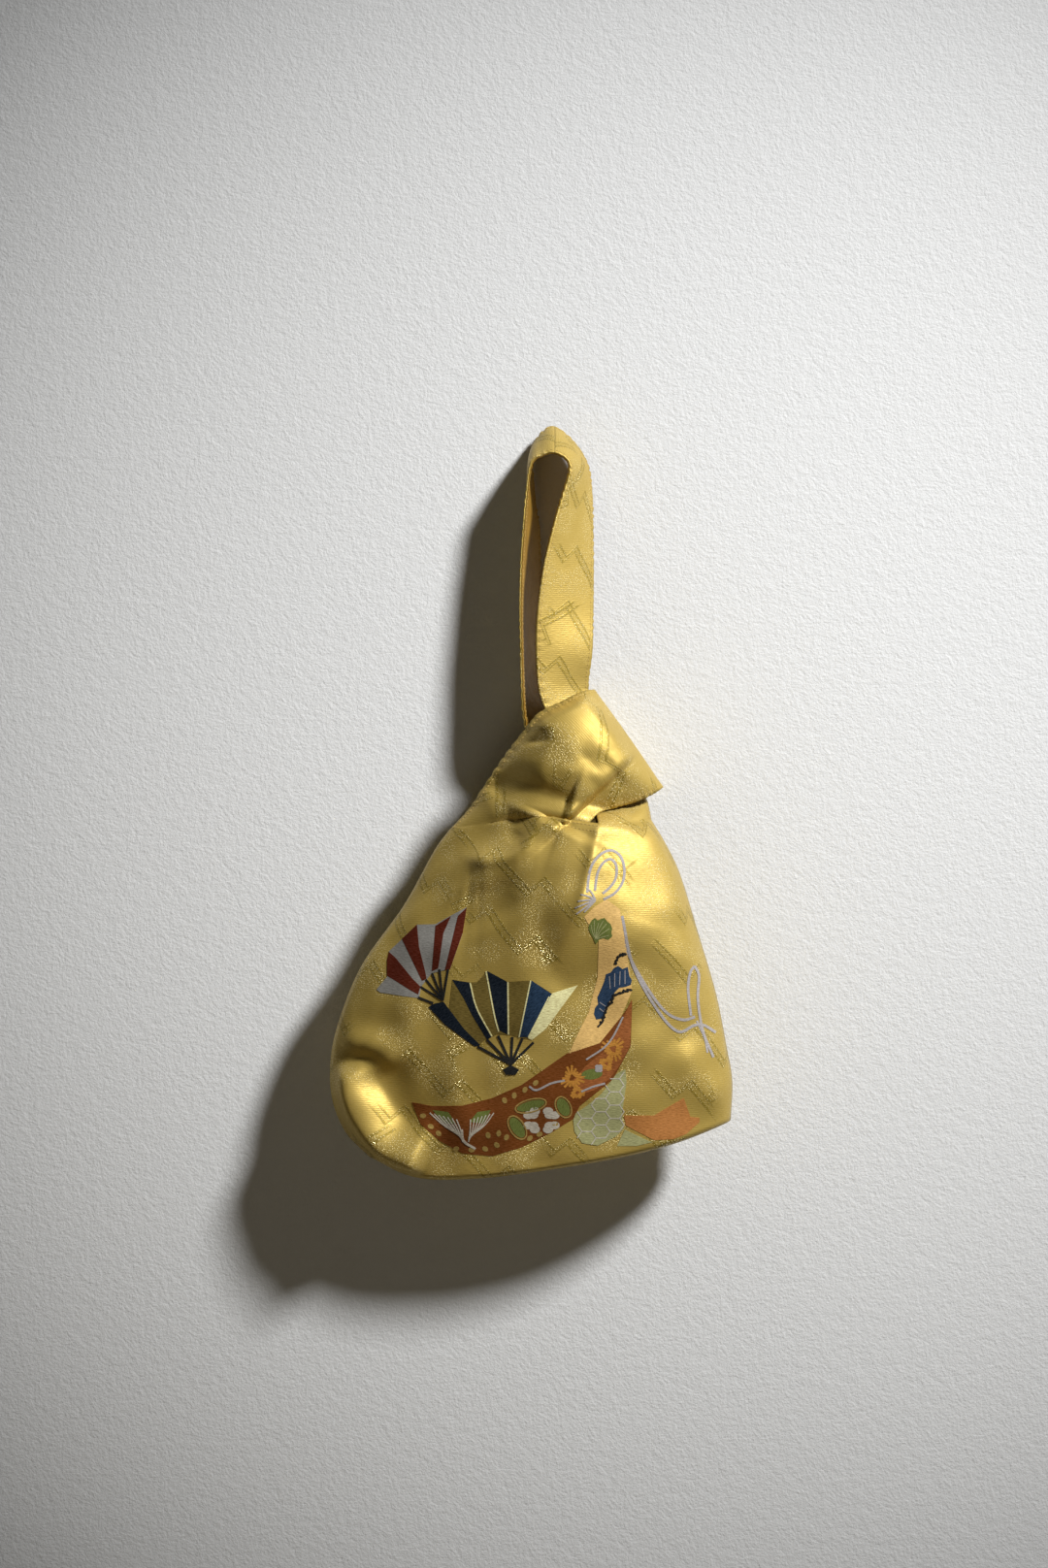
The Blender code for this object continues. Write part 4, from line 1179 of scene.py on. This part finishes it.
hexagons = {
    "ribbon": [
        (644.4, 1101.6), (645.7, 1115), (641, 1147), (643, 1163), (635, 1171), (616, 1180.6),
        (600, 1178), (592, 1166), (590.8, 1153.8), (593.5, 1147), (605.5, 1139), (620, 1127),
        (635, 1107),
    ],
    "tail": [(644, 1164), (652, 1168), (668, 1175.5), (672, 1177), (656, 1181), (636, 1181), (640, 1172)],
    "firstAt": (590, 1098),
    "pitch": (14.5, 13.6),
    "reach": (9.6, 7.9),
    "cells": range(-1, 8),
    "lineWide": 1.0,
}
Figure("hexagon_ribbon_threads", "greyGreen").patch(hexagons["ribbon"], 1).make("hexagon_ribbon")
hexLines = Figure("hexagon_line_threads", "white")
for row in hexagons["cells"]:
    for column in hexagons["cells"]:
        x = hexagons["firstAt"][0] + column * hexagons["pitch"][0]
        y = hexagons["firstAt"][1] + (row + (0.5 if column % 2 else 0)) * hexagons["pitch"][1]
        # three of the six sides: the others belong to the cells beside it
        corners = []
        for a in np.radians((0, 60, 120, 180)):
            corners.append((x + hexagons["reach"][0] * math.cos(a), y + hexagons["reach"][1] * math.sin(a)))
        for a, b in zip(corners, corners[1:]):
            middle = np.array([((a[0] + b[0]) / 2, (a[1] + b[1]) / 2)])
            if insideOutline(hexagons["ribbon"], middle)[0][0]:
                hexLines.line([a, b], hexagons["lineWide"], 2)
hexLines.make()
vermilionRibbon = {
    "ribbon": [
        (643, 1149.8), (673.8, 1149.8), (687, 1141.8), (704.6, 1131.7), (711.3, 1151), (720.7, 1152),
        (720.7, 1156.5), (707.3, 1168.6), (694, 1174), (673.8, 1175), (653.7, 1164.5), (645, 1160),
    ],
}
Figure("vermilion_ribbon_threads", "vermilion").patch(vermilionRibbon["ribbon"]).make("vermilion_ribbon")
Figure("hexagon_ribbon_tail_threads", "greyGreen").patch(hexagons["tail"]).make()

say("stitching")
stitch = {
    "inset": 2.4,
    "pitch": 2.6,
    "long": 1.9,
    "thick": 0.36,
    "arch": 0.14,  # how far a stitch's middle stands up
    "clear": 0.05,  # of the cloth
    "sides": 6,
    "hemRows": (1, 3),  # of the body's grid, below the mouth
}


# points along one edge of a ribbon, set in from it
def edgePath(panel, ids, column):
    points, normals = [], []
    last = len(ids[0]) - 1
    for row in ids:
        a, b = panel.points[row[0]], panel.points[row[-1]]
        t = stitch["inset"] / np.linalg.norm(b - a) * last
        at = t if column == 0 else last - t
        i = int(at)
        points.append(panel.points[row[i]] * (1 - at + i) + panel.points[row[i + 1]] * (at - i))
        normals.append(panel.normals[row[i]])
    return np.array(points), np.array(normals)


# one stitch: three rings of points along it, the middle one thicker and higher
def addStitch(points, faces, ends, n, lift):
    d = ends[2] - ends[0]
    d /= np.linalg.norm(d)
    across = np.cross(n, d)
    start, sides = len(points), stitch["sides"]
    for end, up, grow in ((ends[0], 0.0, 0.5), (ends[1], stitch["arch"], 1.0), (ends[2], 0.0, 0.5)):
        centre = end + n * (lift + up * np.sign(lift))
        for a in range(sides):
            angle = a * 2 * math.pi / sides
            way = across * math.cos(angle) + n * math.sin(angle)
            points.append(centre + way * stitch["thick"] / 2 * grow)
    for i in (start, start + sides):
        for a in range(sides):
            b = (a + 1) % sides
            faces.append((i + a, i + b, i + sides + b, i + sides + a))
    faces.append(tuple(start + a for a in range(sides - 1, -1, -1)))
    faces.append(tuple(start + 2 * sides + a for a in range(sides)))


def stitches(name, tracks):
    points, faces = [], []
    for path, normals, lift in tracks:
        run = np.concatenate([[0], np.cumsum(np.linalg.norm(np.diff(path, axis=0), axis=1))])
        for s in np.arange(stitch["pitch"] / 2, run[-1] - stitch["long"], stitch["pitch"]):
            ends = []
            for q in (s, s + stitch["long"] / 2, s + stitch["long"]):
                ends.append(np.array([np.interp(q, run, path[:, k]) for k in range(3)]))
            n = np.array([np.interp(s, run, normals[:, k]) for k in range(3)])
            addStitch(points, faces, ends, n / np.linalg.norm(n), lift)
    return makeMesh(name, points, faces, threads["sewing"])


tracks = []
out = cloth["thick"] + stitch["clear"]
into = -cloth["liningGap"] - cloth["lining"] - stitch["clear"]
for panel in (front, back):
    for ids in (panel.bandIds, panel.strapIds):
        for column in (0, 1):
            p, n = edgePath(panel, ids, column)
            tracks += [(p, n, out), (p, n, into)]
    # the hem across the mouth
    columns = slice(cloth["bandColumns"], cloth["bandColumns"] + cloth["hemColumns"] + 1)
    for depth in stitch["hemRows"]:
        row = panel.bodyIds[-1 - depth][columns]
        tracks.append((panel.points[row], panel.normals[row], out))
stitches("topstitching", tracks)

say("wall, light and camera")
# the wall behind the bag, on which it hangs
wall = {
    "y": 0.0135,
    "half": 3.2,
    "colour": (0.79, 0.81, 0.83),
    "grey": (0.74, 0.75, 0.76),
    "roughness": 0.85,
    "grainScale": 560.0,
    "coarseScale": 170.0,
    "bump": 0.6,
    "bumpDepth": 0.0012,
    "paintedLightAt": (0.065, -0.255),  # painted light: the paper is painted palest here, and darker away from it, as the lamp's pool of light
    "paintedLightReach": 0.845,
    "paintedLightPower": 2.4,
    "paintedLightLeast": 0.35,
}


def wallMaterial():
    s = Shading("wall_paper")
    place = s.node("ShaderNodeTexCoord", {}, {}, 3)  # object coordinates
    x, y, z = s.separate(place)
    # painted light: the paper's colour darkens with distance from one point, as a pool of light falling off
    x, z = x - wall["paintedLightAt"][0], z - wall["paintedLightAt"][1]
    far = (x * x + z * z).op("POWER", 0.5) / wall["paintedLightReach"]
    pale = (1.0 - far.op("POWER", wall["paintedLightPower"])).op("MAXIMUM", wall["paintedLightLeast"])
    grain = s.noise(place, wall["grainScale"], 3.0, 0.6)
    coarse = s.noise(place, wall["coarseScale"], 2.0, 0.5)
    paper = s.mix(coarse * 0.25, wall["colour"], wall["grey"])
    s.surface(
        Base_Color=s.mix(1.0, paper, s.combine(pale, pale, pale), "MULTIPLY"),
        Roughness=wall["roughness"],
        Normal=s.bump(wall["bump"], wall["bumpDepth"], grain * 0.7 + coarse * 0.5),
    )
    # seen from behind it is clear, so that the back of the bag can be looked at
    paperSeen = Value(s, s.out.inputs["Surface"].links[0].from_socket)
    clear = s.node("ShaderNodeBsdfTransparent")
    behind = s.node("ShaderNodeNewGeometry", {}, {}, 6)  # its back face
    s.link(s.node("ShaderNodeMixShader", {}, {0: behind, 1: paperSeen, 2: clear}), s.out.inputs["Surface"])
    return s.material


def makeWall():
    h, y = wall["half"], wall["y"]
    mesh = bpy.data.meshes.new("wall")
    mesh.from_pydata([(-h, y, -h), (h, y, -h), (h, y, h), (-h, y, h)], [], [(0, 1, 2, 3)])
    mesh.materials.append(wallMaterial())
    made = bpy.data.objects.new("wall", mesh)
    bpy.context.scene.collection.objects.link(made)


light = {
    "keyFrom": (1.95, -1.78, 1.85),
    "keyAt": (0.0, 0.0, -0.24),
    "keyRadius": 0.27,
    "keyPower": 740.0,
    "keyCone": 90.0,
    "keyBlend": 0.3,
    "keyColour": (1.0, 0.985, 0.965),
    "fillFrom": (-0.5, -1.3, -1.3),
    "fillAt": (0.0, 0.0, -0.6),
    "fillSize": 0.9,
    "fillPower": 1.9,
    "fillColour": (1.0, 0.86, 0.64),
    "world": (1.0, 0.84, 0.58),
    "worldStrength": 0.03,
}


# puts a lamp at a place and turns it to look at another
def placeLamp(name, data, start, target):
    lamp = bpy.data.objects.new(name, data)
    lamp.location = start
    lamp.rotation_euler = (Vector(target) - Vector(start)).to_track_quat("-Z", "Y").to_euler()
    bpy.context.scene.collection.objects.link(lamp)


def makeLights():
    world = bpy.data.worlds.new("room")
    bpy.context.scene.world = world
    world.use_nodes = True
    background = next(n for n in world.node_tree.nodes if n.type == "BACKGROUND")
    background.inputs[0].default_value = (*light["world"], 1)
    background.inputs[1].default_value = light["worldStrength"]
    key = bpy.data.lights.new("key", "SPOT")
    key.energy = light["keyPower"]
    key.color = light["keyColour"]
    key.shadow_soft_size = light["keyRadius"]
    key.spot_size = math.radians(light["keyCone"])
    key.spot_blend = light["keyBlend"]
    placeLamp("key", key, light["keyFrom"], light["keyAt"])
    fill = bpy.data.lights.new("fill", "AREA")
    fill.energy = light["fillPower"]
    fill.color = light["fillColour"]
    fill.shape = "DISK"
    fill.size = light["fillSize"]
    placeLamp("fill", fill, light["fillFrom"], light["fillAt"])


def makeCamera():
    data = bpy.data.cameras.new("camera")
    data.sensor_width = shot["sensor"]
    viewTall = shot["viewHigh"] * shot["mmPerPixel"]
    data.lens = shot["sensor"] * (shot["plane"] - eye[1]) / viewTall
    camera = bpy.data.objects.new("camera", data)
    middle = fromPixel(*shot["viewMiddle"])
    camera.location = [float(v) * mm for v in (middle[0], eye[1], middle[2])]
    camera.rotation_euler = (math.pi / 2, 0, 0)
    bpy.context.scene.collection.objects.link(camera)
    bpy.context.scene.camera = camera


makeWall()
makeLights()
makeCamera()
bpy.context.scene.view_settings.view_transform = "Standard"

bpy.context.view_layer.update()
say("done")
